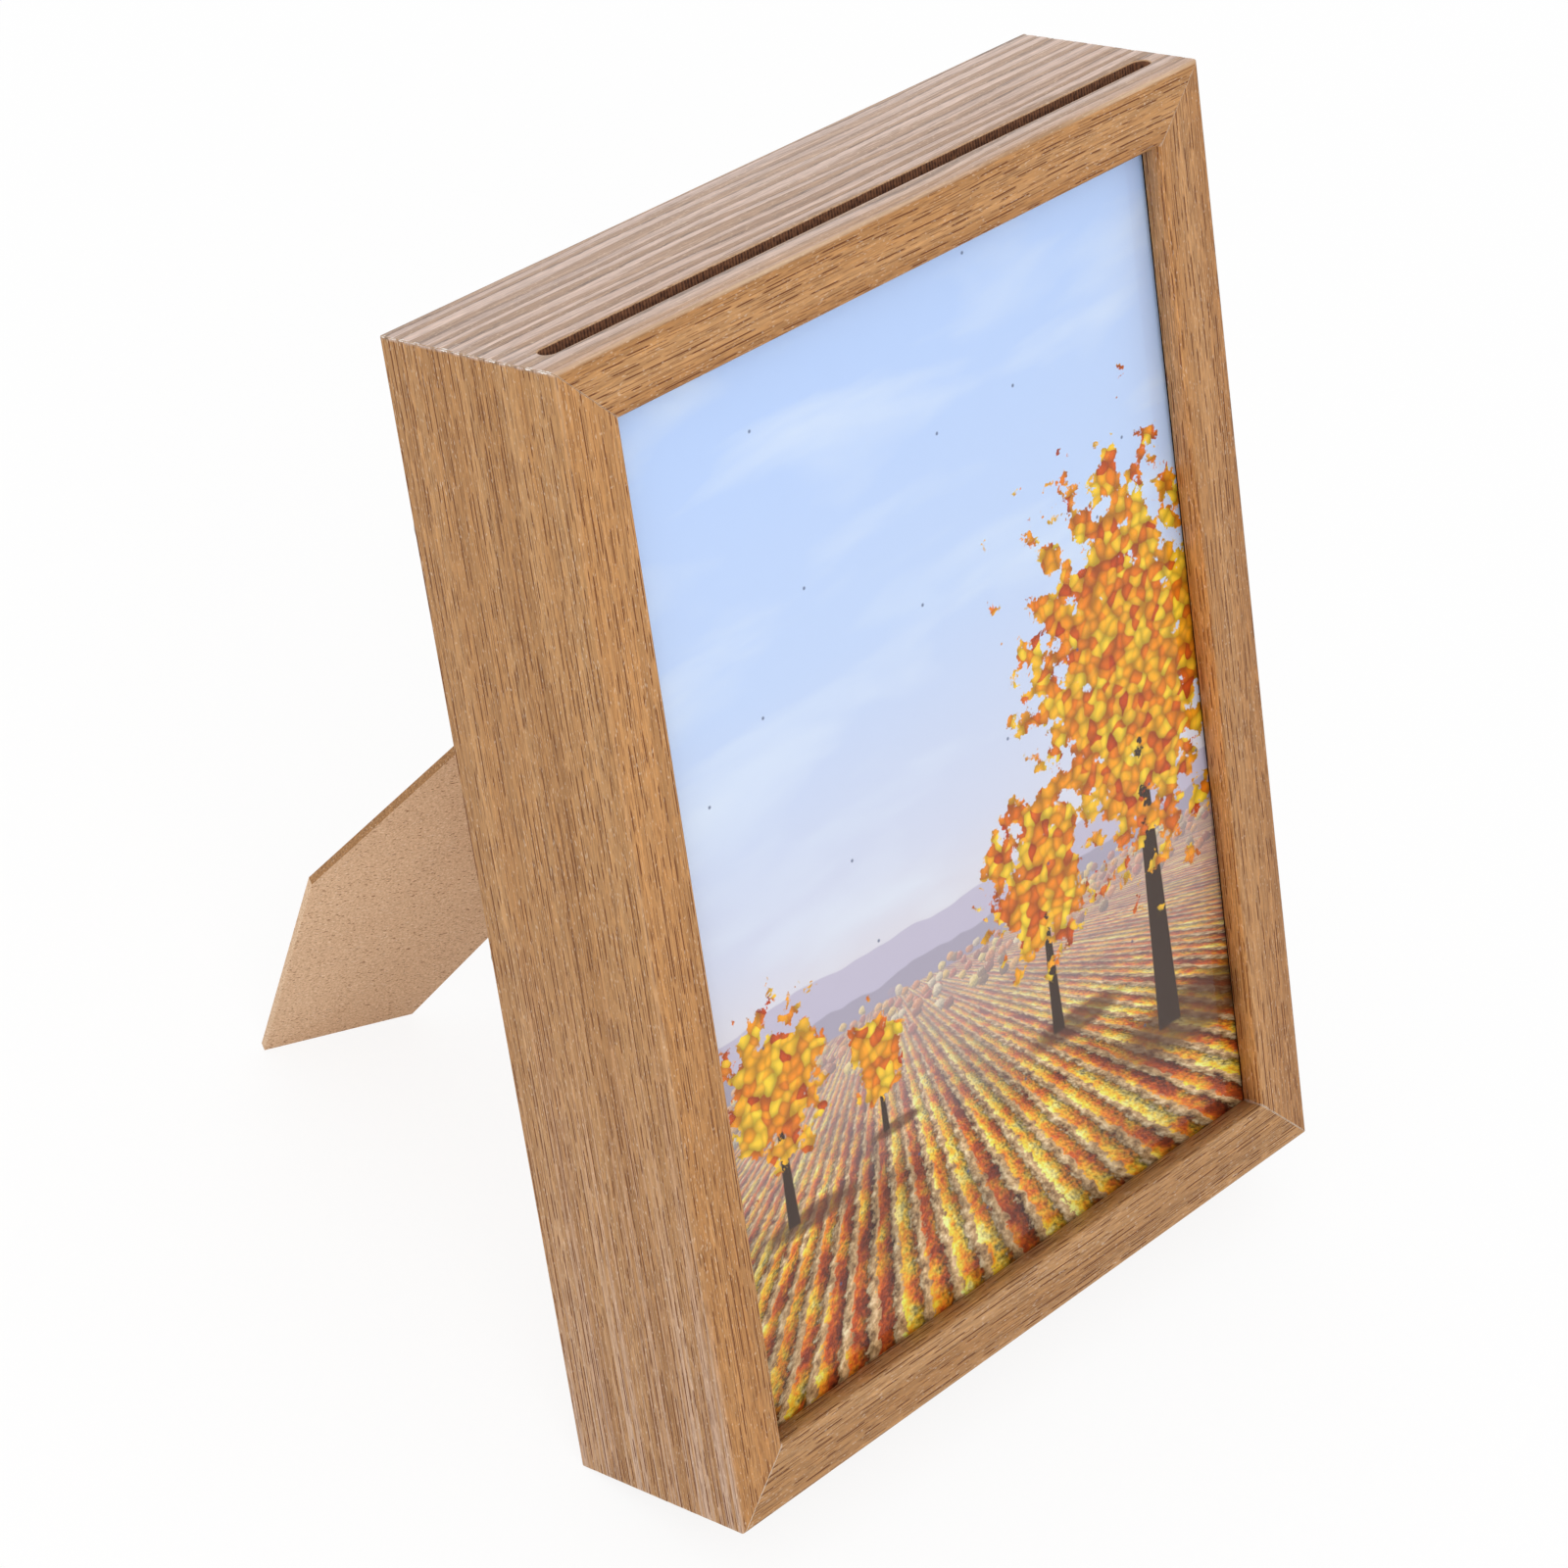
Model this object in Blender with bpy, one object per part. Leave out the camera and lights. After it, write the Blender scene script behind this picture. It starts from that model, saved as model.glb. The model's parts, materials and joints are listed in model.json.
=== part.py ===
# Photo frame money box: a deep mitred box frame with a coin slot in its top rail,
# a glazed print in front, a money chamber behind it, and a back board with an easel strut.
# Everything is modelled upright in the box's own axes (x right, y back, z up, from the lower
# left front corner) under one empty, which then leans the box back onto its strut.

import math

import bmesh
import bpy
from mathutils import Matrix, Vector

for item in list(bpy.data.objects):
    bpy.data.objects.remove(item, do_unlink=True)

# Sheets behind the lip
PRINT_WIDTH = 0.148
PRINT_HEIGHT = 0.210
PRINT_THICKNESS = 0.0003
GLAZING_THICKNESS = 0.0012
CARD_THICKNESS = 0.00045
BOARD_THICKNESS = 0.003
PRINT_ROOM = 0.0005

# Moulding
DEPTH = 0.0435
WALL = 0.0105
LIP_DEPTH = 0.0049
LIP_OVERHANG = 0.00225
FRONT_EDGE_RADIUS = 0.0008
SIGHT_EDGE_RADIUS = 0.0006
REAR_EDGE_RADIUS = 0.0006
EDGE_STEPS = 3

# Coin slot in the top rail
SLOT_WIDTH = 0.0039
SLOT_LEFT_END = 0.0056
SLOT_RIGHT_END = 0.0041

# Strips that hold the sheets against the lip
SPACER_THICKNESS = 0.004

# V-shaped nails across the mitres
NAIL_HALF_SPAN = 0.004
NAIL_THICKNESS = 0.0007
NAIL_LENGTH = 0.010
NAIL_SINK = 0.0003
NAIL_SLOPE = math.radians(30)
NAIL_CLEARANCE = 0.0002

# Turn buttons and their screws
BUTTON_WIDTH = 0.009
BUTTON_REACH = 0.014
BUTTON_THICKNESS = 0.0008
LEFT_BUTTON_FROM_BOTTOM = 0.110
LEFT_BUTTON_FROM_TOP = 0.037
RIGHT_BUTTON_FROM_BOTTOM = 0.060
RIGHT_BUTTON_FROM_TOP = 0.062
BOTTOM_BUTTON_FROM_RIGHT = 0.055
SCREW_SHANK_RADIUS = 0.0013
SCREW_SHANK_LENGTH = 0.010
SCREW_POINT = 0.002
SCREW_HEAD_RADIUS = 0.003
SCREW_HEAD_HEIGHT = 0.0016
SCREW_RECESS_SPAN = 0.0034
SCREW_RECESS_WIDTH = 0.0006
SCREW_RECESS_DEPTH = 0.0009

# Easel strut, seen flat against the back: its hinge is slanted, and the two cuts at its foot
# lie parallel to the frame's side and bottom
STRUT_LENGTH = 0.170
STRUT_TIP_SHIFT = 0.0022
STRUT_TOP_WIDTH = 0.0454
STRUT_FLARE = 0.0533
STRUT_THICKNESS = 0.0018
STRUT_TOP_SETBACK = 0.0022
STRUT_BOARD_GAP = 0.0005
TIP_FROM_LEFT = 0.0079
TIP_FROM_BOTTOM = 0.0095
HINGE_SLANT = math.radians(30)
STRUT_OPENING = math.radians(41.3)

# Hinge leaves, pin and rivets
LEAF_THICKNESS = 0.0006
LEAF_WIDTH = 0.040
BOARD_LEAF_LENGTH = 0.016
STRUT_LEAF_LENGTH = 0.018
MIDDLE_KNUCKLE_WIDTH = 0.016
STOP_TAIL_LENGTH = 0.006
PIN_RADIUS = 0.0008
PIN_HEAD_RADIUS = 0.0013
PIN_HEAD_LENGTH = 0.0008
RIVET_RADIUS = 0.0015
RIVET_HEAD_RADIUS = 0.0026
RIVET_HEAD_HEIGHT = 0.0009
RIVET_TAIL_HEIGHT = 0.0008
RIVET_SPACING = 0.024
BOARD_RIVET_SETBACK = 0.0105
STRUT_RIVET_SETBACK = 0.011

# Clearances
FACE_GAP = 0.00005
GAP = 0.0003
RUNNING_CLEARANCE = 0.0001
ROUND_SIDES = 24

# Overall sizes and the depth of each layer
INNER_WIDTH = PRINT_WIDTH + 2 * PRINT_ROOM
INNER_HEIGHT = PRINT_HEIGHT + 2 * PRINT_ROOM
WIDTH = INNER_WIDTH + 2 * WALL
HEIGHT = INNER_HEIGHT + 2 * WALL
GLAZING_FRONT = LIP_DEPTH + FACE_GAP
PRINT_FRONT = GLAZING_FRONT + GLAZING_THICKNESS + FACE_GAP
CARD_FRONT = PRINT_FRONT + PRINT_THICKNESS + FACE_GAP
CHAMBER_FRONT = CARD_FRONT + CARD_THICKNESS + FACE_GAP
SLOT_BACK = CHAMBER_FRONT + SLOT_WIDTH
BOARD_FRONT = DEPTH - BOARD_THICKNESS
KNUCKLE_RADIUS = PIN_RADIUS + RUNNING_CLEARANCE + LEAF_THICKNESS
AXIS_DEPTH = DEPTH + GAP + KNUCKLE_RADIUS
STRUT_INNER_FACE = STRUT_BOARD_GAP - GAP - KNUCKLE_RADIUS
STRUT_OUTER_FACE = STRUT_INNER_FACE + STRUT_THICKNESS

# Directions of the folded strut: along its hinge, from hinge to foot, and away from the board
HINGE_ALONG = Vector((math.cos(HINGE_SLANT), 0.0, -math.sin(HINGE_SLANT)))
FOLDED_DOWN = Vector((-math.sin(HINGE_SLANT), 0.0, -math.cos(HINGE_SLANT)))
BACKWARD = Vector((0.0, 1.0, 0.0))
FOLDED_TIP = Vector((TIP_FROM_LEFT, AXIS_DEPTH, TIP_FROM_BOTTOM))
HINGE_CENTRE = FOLDED_TIP - STRUT_TIP_SHIFT * HINGE_ALONG - STRUT_LENGTH * FOLDED_DOWN


def make_material(name, colour, roughness, metallic=0.0, alpha=1.0):
    material = bpy.data.materials.new(name)
    material.use_nodes = True
    shader = material.node_tree.nodes["Principled BSDF"]
    shader.inputs["Base Color"].default_value = (*colour, 1.0)
    shader.inputs["Roughness"].default_value = roughness
    shader.inputs["Metallic"].default_value = metallic
    shader.inputs["Alpha"].default_value = alpha
    return material


OAK_FOIL = make_material("oak_foil", (0.47, 0.27, 0.12), 0.5)
FIBREBOARD = make_material("fibreboard", (0.58, 0.36, 0.20), 0.8)
CLEAR_SHEET = make_material("clear_sheet", (0.9, 0.95, 0.95), 0.05, alpha=0.3)
PRINTED_PAPER = make_material("printed_paper", (0.55, 0.60, 0.75), 0.5)
GREY_CARD = make_material("grey_card", (0.45, 0.42, 0.38), 0.9)
PLATED_STEEL = make_material("plated_steel", (0.60, 0.60, 0.58), 0.35, metallic=1.0)


def add_empty(name, matrix, parent=None):
    empty = bpy.data.objects.new(name, None)
    bpy.context.collection.objects.link(empty)
    empty.parent = parent
    empty.matrix_local = matrix
    return empty


def add_object(name, bm, material, parent, matrix=None):
    bmesh.ops.recalc_face_normals(bm, faces=bm.faces)
    # A small thin solid can come out of this inside out
    if bm.calc_volume(signed=True) < 0.0:
        bmesh.ops.reverse_faces(bm, faces=bm.faces)
    mesh = bpy.data.meshes.new(name)
    bm.to_mesh(mesh)
    bm.free()
    piece = bpy.data.objects.new(name, mesh)
    bpy.context.collection.objects.link(piece)
    piece.parent = parent
    piece.matrix_local = matrix or Matrix.Identity(4)
    if material:
        mesh.materials.append(material)
    return piece


def shade_round(piece):
    piece.data.shade_smooth()
    piece.data.set_sharp_from_angle(angle=math.radians(40))


def combine(piece, operation, bm, parent, matrix=None):
    # A hidden helper solid that is cut from the piece or joined to it
    helper = add_object(f"{piece.name}_helper_{len(piece.modifiers)}", bm, None, parent, matrix)
    helper.hide_render = True
    helper.display_type = "WIRE"
    modifier = piece.modifiers.new(helper.name, "BOOLEAN")
    modifier.operation = operation
    modifier.solver = "EXACT"
    modifier.object = helper


def axes_matrix(origin, x_axis, y_axis, z_axis):
    turn = Matrix((x_axis, y_axis, z_axis)).transposed()
    return Matrix.Translation(origin) @ turn.to_4x4()


def block(low, high):
    bm = bmesh.new()
    bmesh.ops.create_cube(bm, size=1.0)
    low, high = Vector(low), Vector(high)
    bmesh.ops.scale(bm, vec=high - low, verts=bm.verts)
    bmesh.ops.translate(bm, vec=(low + high) / 2, verts=bm.verts)
    return bm


def prism(outline, low, high):
    # A flat outline in x and y, extruded from low to high along z
    bm = bmesh.new()
    base = bm.faces.new([bm.verts.new((x, y, low)) for x, y in outline])
    grown = bmesh.ops.extrude_face_region(bm, geom=[base])["geom"]
    tops = [part for part in grown if isinstance(part, bmesh.types.BMVert)]
    bmesh.ops.translate(bm, vec=(0.0, 0.0, high - low), verts=tops)
    return bm


def rod(radius, low, high, along="z"):
    # A round bar about the local z axis, or about the local x axis
    bm = bmesh.new()
    bmesh.ops.create_cone(bm, cap_ends=True, segments=ROUND_SIDES, radius1=radius, radius2=radius,
                          depth=high - low)
    bmesh.ops.translate(bm, vec=(0.0, 0.0, (low + high) / 2), verts=bm.verts)
    if along == "x":
        bm.transform(Matrix.Rotation(math.radians(90), 4, "Y"))
    return bm


def turned(profile):
    # A profile of (radius, height) points, spun about the local z axis
    bm = bmesh.new()
    points = [bm.verts.new((radius, 0.0, height)) for radius, height in profile]
    edges = [bm.edges.new(pair) for pair in zip(points, points[1:])]
    bmesh.ops.spin(bm, geom=points + edges, cent=(0, 0, 0), axis=(0, 0, 1), angle=math.tau,
                   steps=ROUND_SIDES, use_merge=True)
    bmesh.ops.remove_doubles(bm, verts=bm.verts, dist=1e-7)
    return bm


def dome(radius, height, base, steps=4):
    # A low dome from its crown down to its rim, standing on base
    quarter = math.pi / 2
    turns = [quarter * step / steps for step in range(steps + 1)]
    return [(radius * math.sin(turn), base + height * math.cos(turn)) for turn in turns]


def round_corner(before, corner, after, radius):
    # An arc between two sides that meet at a right angle
    corner = Vector(corner)
    start = (Vector(before) - corner).normalized() * radius
    end = (Vector(after) - corner).normalized() * radius
    centre = corner + start + end
    turns = [math.pi / 2 * step / EDGE_STEPS for step in range(EDGE_STEPS + 1)]
    return [centre - end * math.cos(turn) - start * math.sin(turn) for turn in turns]


def rounded_outline(corners):
    # Corners are (point, radius) pairs, and a radius of zero keeps the corner sharp
    outline = []
    for index, (point, radius) in enumerate(corners):
        before = corners[index - 1][0]
        after = corners[(index + 1) % len(corners)][0]
        outline += round_corner(before, point, after, radius) if radius else [Vector(point)]
    return outline


def stadium(start, end, radius):
    # A slot shape along x with round ends, from the centre of one end to that of the other
    half = ROUND_SIDES // 2
    outline = []
    for centre, first in ((end, -math.pi / 2), (start, math.pi / 2)):
        for step in range(half + 1):
            turn = first + math.pi * step / half
            outline.append((centre + radius * math.cos(turn), radius * math.sin(turn)))
    return outline


# The moulding's section, as depth from the front and inset from the outer side
LIP_CORNERS = [
    ((LIP_DEPTH, WALL), 0.0),
    ((LIP_DEPTH, WALL + LIP_OVERHANG), 0.0),
    ((0.0, WALL + LIP_OVERHANG), SIGHT_EDGE_RADIUS),
    ((0.0, 0.0), FRONT_EDGE_RADIUS),
]
REAR_CORNERS = [((DEPTH, 0.0), REAR_EDGE_RADIUS), ((DEPTH, WALL), 0.0)]
FULL_SECTION = rounded_outline(LIP_CORNERS + REAR_CORNERS)
FRONT_SECTION = rounded_outline(LIP_CORNERS + [((SLOT_BACK, 0.0), 0.0), ((SLOT_BACK, WALL), 0.0)])
REAR_START = SLOT_BACK + FACE_GAP
REAR_SECTION = rounded_outline([((REAR_START, WALL), 0.0), ((REAR_START, 0.0), 0.0)] + REAR_CORNERS)

# Where each side of the frame lies: its columns turn (along, depth, inset) into the box's axes
SIDES = {
    "bottom": axes_matrix((0, 0, 0), (1, 0, 0), (0, 1, 0), (0, 0, 1)),
    "top": axes_matrix((0, 0, HEIGHT), (1, 0, 0), (0, 1, 0), (0, 0, -1)),
    "left": axes_matrix((0, 0, 0), (0, 0, 1), (0, 1, 0), (1, 0, 0)),
    "right": axes_matrix((WIDTH, 0, 0), (0, 0, 1), (0, 1, 0), (-1, 0, 0)),
}
LENGTHS = {"bottom": WIDTH, "top": WIDTH, "left": HEIGHT, "right": HEIGHT}


def mitred_rail(name, side, section):
    bm = bmesh.new()
    near = [bm.verts.new((0.0, depth, inset)) for depth, inset in section]
    grown = bmesh.ops.extrude_face_region(bm, geom=[bm.faces.new(near)])["geom"]
    far = [part for part in grown if isinstance(part, bmesh.types.BMVert)]
    for vert in near:
        vert.co.x = vert.co.z + FACE_GAP
    for vert in far:
        vert.co.x = LENGTHS[side] - vert.co.z - FACE_GAP
    bm.transform(SIDES[side])
    return add_object(name, bm, OAK_FOIL, box)


box = add_empty("box_axes", Matrix.Identity(4))
rails = {
    "bottom": mitred_rail("bottom_rail", "bottom", FULL_SECTION),
    "left": mitred_rail("left_stile", "left", FULL_SECTION),
    "right": mitred_rail("right_stile", "right", FULL_SECTION),
    "top": mitred_rail("top_rail_rear", "top", REAR_SECTION),
}

# The slotted front half of the top rail, whose bridges close the slot at both ends
top_front = mitred_rail("top_rail_front", "top", FRONT_SECTION)
SLOT_RADIUS = SLOT_WIDTH / 2
slot_shape = stadium(SLOT_LEFT_END + SLOT_RADIUS, WIDTH - SLOT_RIGHT_END - SLOT_RADIUS, SLOT_RADIUS)
slot_outline = [(x, y + CHAMBER_FRONT + SLOT_RADIUS) for x, y in slot_shape]
combine(top_front, "DIFFERENCE", prism(slot_outline, HEIGHT - WALL - LIP_OVERHANG, HEIGHT + WALL), box)
# The routed slot stays open to the joint between the two halves
joint_low = (SLOT_LEFT_END + SLOT_RADIUS, SLOT_BACK - SLOT_RADIUS, HEIGHT - WALL - LIP_OVERHANG)
joint_high = (WIDTH - SLOT_RIGHT_END - SLOT_RADIUS, SLOT_BACK + WALL, HEIGHT + WALL)
combine(top_front, "DIFFERENCE", block(joint_low, joint_high), box)


def chevron(grow):
    # The nail's V in the plane of the back, with its point towards the frame's outer corner
    span = NAIL_HALF_SPAN + grow
    rise = span * math.tan(NAIL_SLOPE)
    thick = NAIL_THICKNESS + grow
    lower = [(-span, rise - grow), (0.0, -grow), (span, rise - grow)]
    upper = [(span, rise + thick), (0.0, thick), (-span, rise + thick)]
    return lower + upper


def corner_nail(name, across, up, touching):
    # across and up point from the outer corner into the frame
    corner = Vector((0 if across.x > 0 else WIDTH, DEPTH, 0 if up.z > 0 else HEIGHT))
    inward = (across + up).normalized()
    sideways = inward.cross(BACKWARD)
    seat = axes_matrix(corner + (across + up) * WALL / 2, sideways, inward, sideways.cross(inward))
    outward = 1.0 if sideways.cross(inward).y > 0 else -1.0
    ends = sorted((-outward * NAIL_LENGTH, -outward * NAIL_SINK))
    add_object(name, prism(chevron(0.0), *ends), PLATED_STEEL, box, seat)
    pocket = sorted((-outward * (NAIL_LENGTH + GAP), outward * WALL))
    for side in touching:
        combine(rails[side], "DIFFERENCE", prism(chevron(NAIL_CLEARANCE), *pocket), box, seat)


for level, up in (("bottom", Vector((0, 0, 1))), ("top", Vector((0, 0, -1)))):
    for hand, across in (("left", Vector((1, 0, 0))), ("right", Vector((-1, 0, 0)))):
        corner_nail(f"corner_nail_{level}_{hand}", across, up, (level, hand))


def sheet(name, material, front, thickness, edge_gap):
    low = (WALL + edge_gap, front, WALL + edge_gap)
    high = (WIDTH - WALL - edge_gap, front + thickness, HEIGHT - WALL - edge_gap)
    return add_object(name, block(low, high), material, box)


sheet("glazing", CLEAR_SHEET, GLAZING_FRONT, GLAZING_THICKNESS, GAP)
sheet("print_sheet", PRINTED_PAPER, PRINT_FRONT, PRINT_THICKNESS, PRINT_ROOM)
sheet("backing_card", GREY_CARD, CARD_FRONT, CARD_THICKNESS, GAP)
back_board = sheet("back_board", FIBREBOARD, BOARD_FRONT, BOARD_THICKNESS, GAP)

# Spacer strips stand on the inner walls between the card and the back board
spacer_low = WALL + FACE_GAP
spacer_high = spacer_low + SPACER_THICKNESS
spacer_front = CHAMBER_FRONT
spacer_back = BOARD_FRONT - FACE_GAP
side_top = HEIGHT - WALL - GAP
left_strip = block((spacer_low, spacer_front, spacer_low), (spacer_high, spacer_back, side_top))
right_strip = block((WIDTH - spacer_high, spacer_front, spacer_low),
                    (WIDTH - spacer_low, spacer_back, side_top))
bottom_strip = block((spacer_high + GAP, spacer_front, spacer_low),
                     (WIDTH - spacer_high - GAP, spacer_back, spacer_high))
for strip_name, strip in (("left", left_strip), ("right", right_strip), ("bottom", bottom_strip)):
    add_object(f"spacer_{strip_name}", strip, FIBREBOARD, box)


def screw_head(bm_piece, parent, matrix):
    # A crossed recess in the crown
    crown = BUTTON_THICKNESS + FACE_GAP + SCREW_HEAD_HEIGHT
    long, short = SCREW_RECESS_SPAN / 2, SCREW_RECESS_WIDTH / 2
    cross = [(long, -short), (long, short), (short, short), (short, long), (-short, long),
             (-short, short), (-long, short), (-long, -short), (-short, -short), (-short, -long),
             (short, -long), (short, -short)]
    combine(bm_piece, "DIFFERENCE", prism(cross, crown - SCREW_RECESS_DEPTH, crown + GAP), parent, matrix)


def turn_button(number, side, along):
    # The button's x axis points into the frame, and its z axis out of the back
    columns = SIDES[side].to_3x3()
    inward = columns.col[2]
    pivot = SIDES[side] @ Vector((along, DEPTH + FACE_GAP, WALL / 2))
    seat = axes_matrix(pivot, inward, BACKWARD.cross(inward), BACKWARD)
    end_radius = BUTTON_WIDTH / 2
    outline = stadium(0.0, BUTTON_REACH - end_radius, end_radius)
    button = add_object(f"turn_button_{number}", prism(outline, 0.0, BUTTON_THICKNESS), PLATED_STEEL,
                        box, seat)
    bore = SCREW_SHANK_RADIUS + RUNNING_CLEARANCE
    combine(button, "DIFFERENCE", rod(bore, -WALL, WALL), box, seat)
    head_base = BUTTON_THICKNESS + FACE_GAP
    profile = dome(SCREW_HEAD_RADIUS, SCREW_HEAD_HEIGHT, head_base)
    profile += [(SCREW_SHANK_RADIUS, head_base)]
    profile += [(SCREW_SHANK_RADIUS, SCREW_POINT - SCREW_SHANK_LENGTH), (0.0, -SCREW_SHANK_LENGTH)]
    screw = add_object(f"button_screw_{number}", turned(profile), PLATED_STEEL, box, seat)
    screw_head(screw, box, seat)
    pilot = rod(SCREW_SHANK_RADIUS + RUNNING_CLEARANCE, -SCREW_SHANK_LENGTH - GAP, WALL)
    combine(rails[side], "DIFFERENCE", pilot, box, seat)
    shade_round(button)
    shade_round(screw)


BUTTON_SPOTS = [
    ("left", LEFT_BUTTON_FROM_BOTTOM),
    ("left", HEIGHT - LEFT_BUTTON_FROM_TOP),
    ("top", WIDTH / 2),
    ("right", HEIGHT - RIGHT_BUTTON_FROM_TOP),
    ("right", RIGHT_BUTTON_FROM_BOTTOM),
    ("bottom", WIDTH - BOTTOM_BUTTON_FROM_RIGHT),
]
for number, (side, along) in enumerate(BUTTON_SPOTS, start=1):
    turn_button(number, side, along)

# Two frames on the hinge axis: x along the hinge, y towards the foot, z away from the board.
# One stays with the board, and the other is opened with the strut
board_hinge = axes_matrix(HINGE_CENTRE, HINGE_ALONG, FOLDED_DOWN, BACKWARD)
strut_hinge = board_hinge @ Matrix.Rotation(STRUT_OPENING, 4, "X")
board_side = add_empty("board_hinge_axis", board_hinge, box)
strut_side = add_empty("strut_hinge_axis", strut_hinge, box)


def meet_side(point, direction, hand):
    # Where a cut from the tip meets the strut's flared side
    edge = hand * STRUT_TOP_WIDTH / 2
    flare = hand * STRUT_FLARE
    distance = (edge + flare * point.y - point.x) / (direction.x - flare * direction.y)
    return point + distance * direction


tip = Vector((STRUT_TIP_SHIFT, STRUT_LENGTH))
foot_cut = Vector((math.cos(HINGE_SLANT), -math.sin(HINGE_SLANT)))
side_cut = Vector((-math.sin(HINGE_SLANT), -math.cos(HINGE_SLANT)))
foot_corner = meet_side(tip, foot_cut, 1)
side_corner = meet_side(tip, side_cut, -1)
top_half = STRUT_TOP_WIDTH / 2 + STRUT_FLARE * STRUT_TOP_SETBACK
strut_outline = [(-top_half, STRUT_TOP_SETBACK), (top_half, STRUT_TOP_SETBACK), foot_corner, tip, side_corner]
strut = add_object("strut", prism(strut_outline, STRUT_INNER_FACE, STRUT_OUTER_FACE), FIBREBOARD, strut_side)


def meet_knuckle(height, reach):
    # Where a flat face of a leaf runs into its knuckle: straight on, or by a short web at reach
    web_foot = math.sqrt(KNUCKLE_RADIUS ** 2 - reach ** 2)
    if height < web_foot:
        return [(math.sqrt(KNUCKLE_RADIUS ** 2 - height ** 2), height)]
    return [(reach, height), (reach, web_foot)]


def hinge_leaf(name, parent, foldings, low, high, length):
    # A plate that ends in a round knuckle about the hinge axis, drawn as a section across the hinge
    upper = meet_knuckle(high, 0.0)
    lower = meet_knuckle(low, LEAF_THICKNESS)
    first = math.atan2(upper[-1][1], upper[-1][0])
    last = math.tau + math.atan2(lower[-1][1], lower[-1][0])
    turns = [first + (last - first) * step / ROUND_SIDES for step in range(1, ROUND_SIDES)]
    knuckle = [(KNUCKLE_RADIUS * math.cos(turn), KNUCKLE_RADIUS * math.sin(turn)) for turn in turns]
    section = [(length, low), (length, high)] + upper + knuckle + lower[::-1]
    plate = prism(section, -half_leaf, half_leaf)
    plate.transform(axes_matrix((0, 0, 0), (0, foldings, 0), (0, 0, foldings), (1, 0, 0)))
    return add_object(name, plate, PLATED_STEEL, parent)


half_leaf = LEAF_WIDTH / 2
half_middle = MIDDLE_KNUCKLE_WIDTH / 2
middle_half = half_middle - GAP
knuckle_room = KNUCKLE_RADIUS + GAP
swing_room = knuckle_room + STOP_TAIL_LENGTH
pin_bore = PIN_RADIUS + RUNNING_CLEARANCE

# The board's leaf lies upside down on the board and has a gap for the middle knuckle
board_leaf_low = DEPTH + FACE_GAP - AXIS_DEPTH
board_leaf_high = board_leaf_low + LEAF_THICKNESS
board_leaf = hinge_leaf("hinge_board_leaf", board_side, -1, -board_leaf_high, -board_leaf_low,
                        BOARD_LEAF_LENGTH)
combine(board_leaf, "DIFFERENCE", rod(pin_bore, -LEAF_WIDTH, LEAF_WIDTH, "x"), board_side)
middle_gap = block((-half_middle, -knuckle_room, -swing_room), (half_middle, swing_room, swing_room))
combine(board_leaf, "DIFFERENCE", middle_gap, board_side)

# The strut's leaf keeps only the middle knuckle, with a bent tail that comes to rest over the
# board's leaf and stops the strut at its open angle
strut_leaf_low = STRUT_OUTER_FACE + FACE_GAP
strut_leaf_high = strut_leaf_low + LEAF_THICKNESS
strut_leaf = hinge_leaf("hinge_strut_leaf", strut_side, 1, strut_leaf_low, strut_leaf_high,
                        STRUT_LEAF_LENGTH)
tail_low = board_leaf_high + GAP
tail = block((-half_middle, -STOP_TAIL_LENGTH, tail_low), (half_middle, 0.0, tail_low + LEAF_THICKNESS))
combine(strut_leaf, "UNION", tail, board_side)
combine(strut_leaf, "DIFFERENCE", rod(pin_bore, -LEAF_WIDTH, LEAF_WIDTH, "x"), strut_side)
for hand in (-1, 1):
    inner, outer = sorted((hand * middle_half, hand * LEAF_WIDTH))
    side_gap = block((inner, -swing_room, -swing_room), (outer, knuckle_room, swing_room))
    combine(strut_leaf, "DIFFERENCE", side_gap, strut_side)

pin_end = half_leaf + FACE_GAP
pin_profile = [(0.0, pin_end + PIN_HEAD_LENGTH), (PIN_HEAD_RADIUS, pin_end + PIN_HEAD_LENGTH),
               (PIN_HEAD_RADIUS, pin_end), (PIN_RADIUS, pin_end), (PIN_RADIUS, -pin_end),
               (PIN_HEAD_RADIUS, -pin_end), (PIN_HEAD_RADIUS, -pin_end - PIN_HEAD_LENGTH),
               (0.0, -pin_end - PIN_HEAD_LENGTH)]
pin_turn = Matrix.Rotation(math.radians(90), 4, "Y")
pin = add_object("hinge_pin", turned(pin_profile), PLATED_STEEL, board_side, pin_turn)
shade_round(pin)


def rivet(name, parent, spot, seat, tail, held):
    # A domed head on the leaf, and a shank through the pieces that it holds, with a tail profile
    profile = dome(RIVET_HEAD_RADIUS, RIVET_HEAD_HEIGHT, seat + FACE_GAP)
    profile += [(RIVET_RADIUS, seat + FACE_GAP)] + tail
    matrix = Matrix.Translation((*spot, 0.0))
    shade_round(add_object(name, turned(profile), PLATED_STEEL, parent, matrix))
    for piece in held:
        hole = rod(RIVET_RADIUS + RUNNING_CLEARANCE, -DEPTH, DEPTH)
        combine(piece, "DIFFERENCE", hole, parent, matrix)


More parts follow.
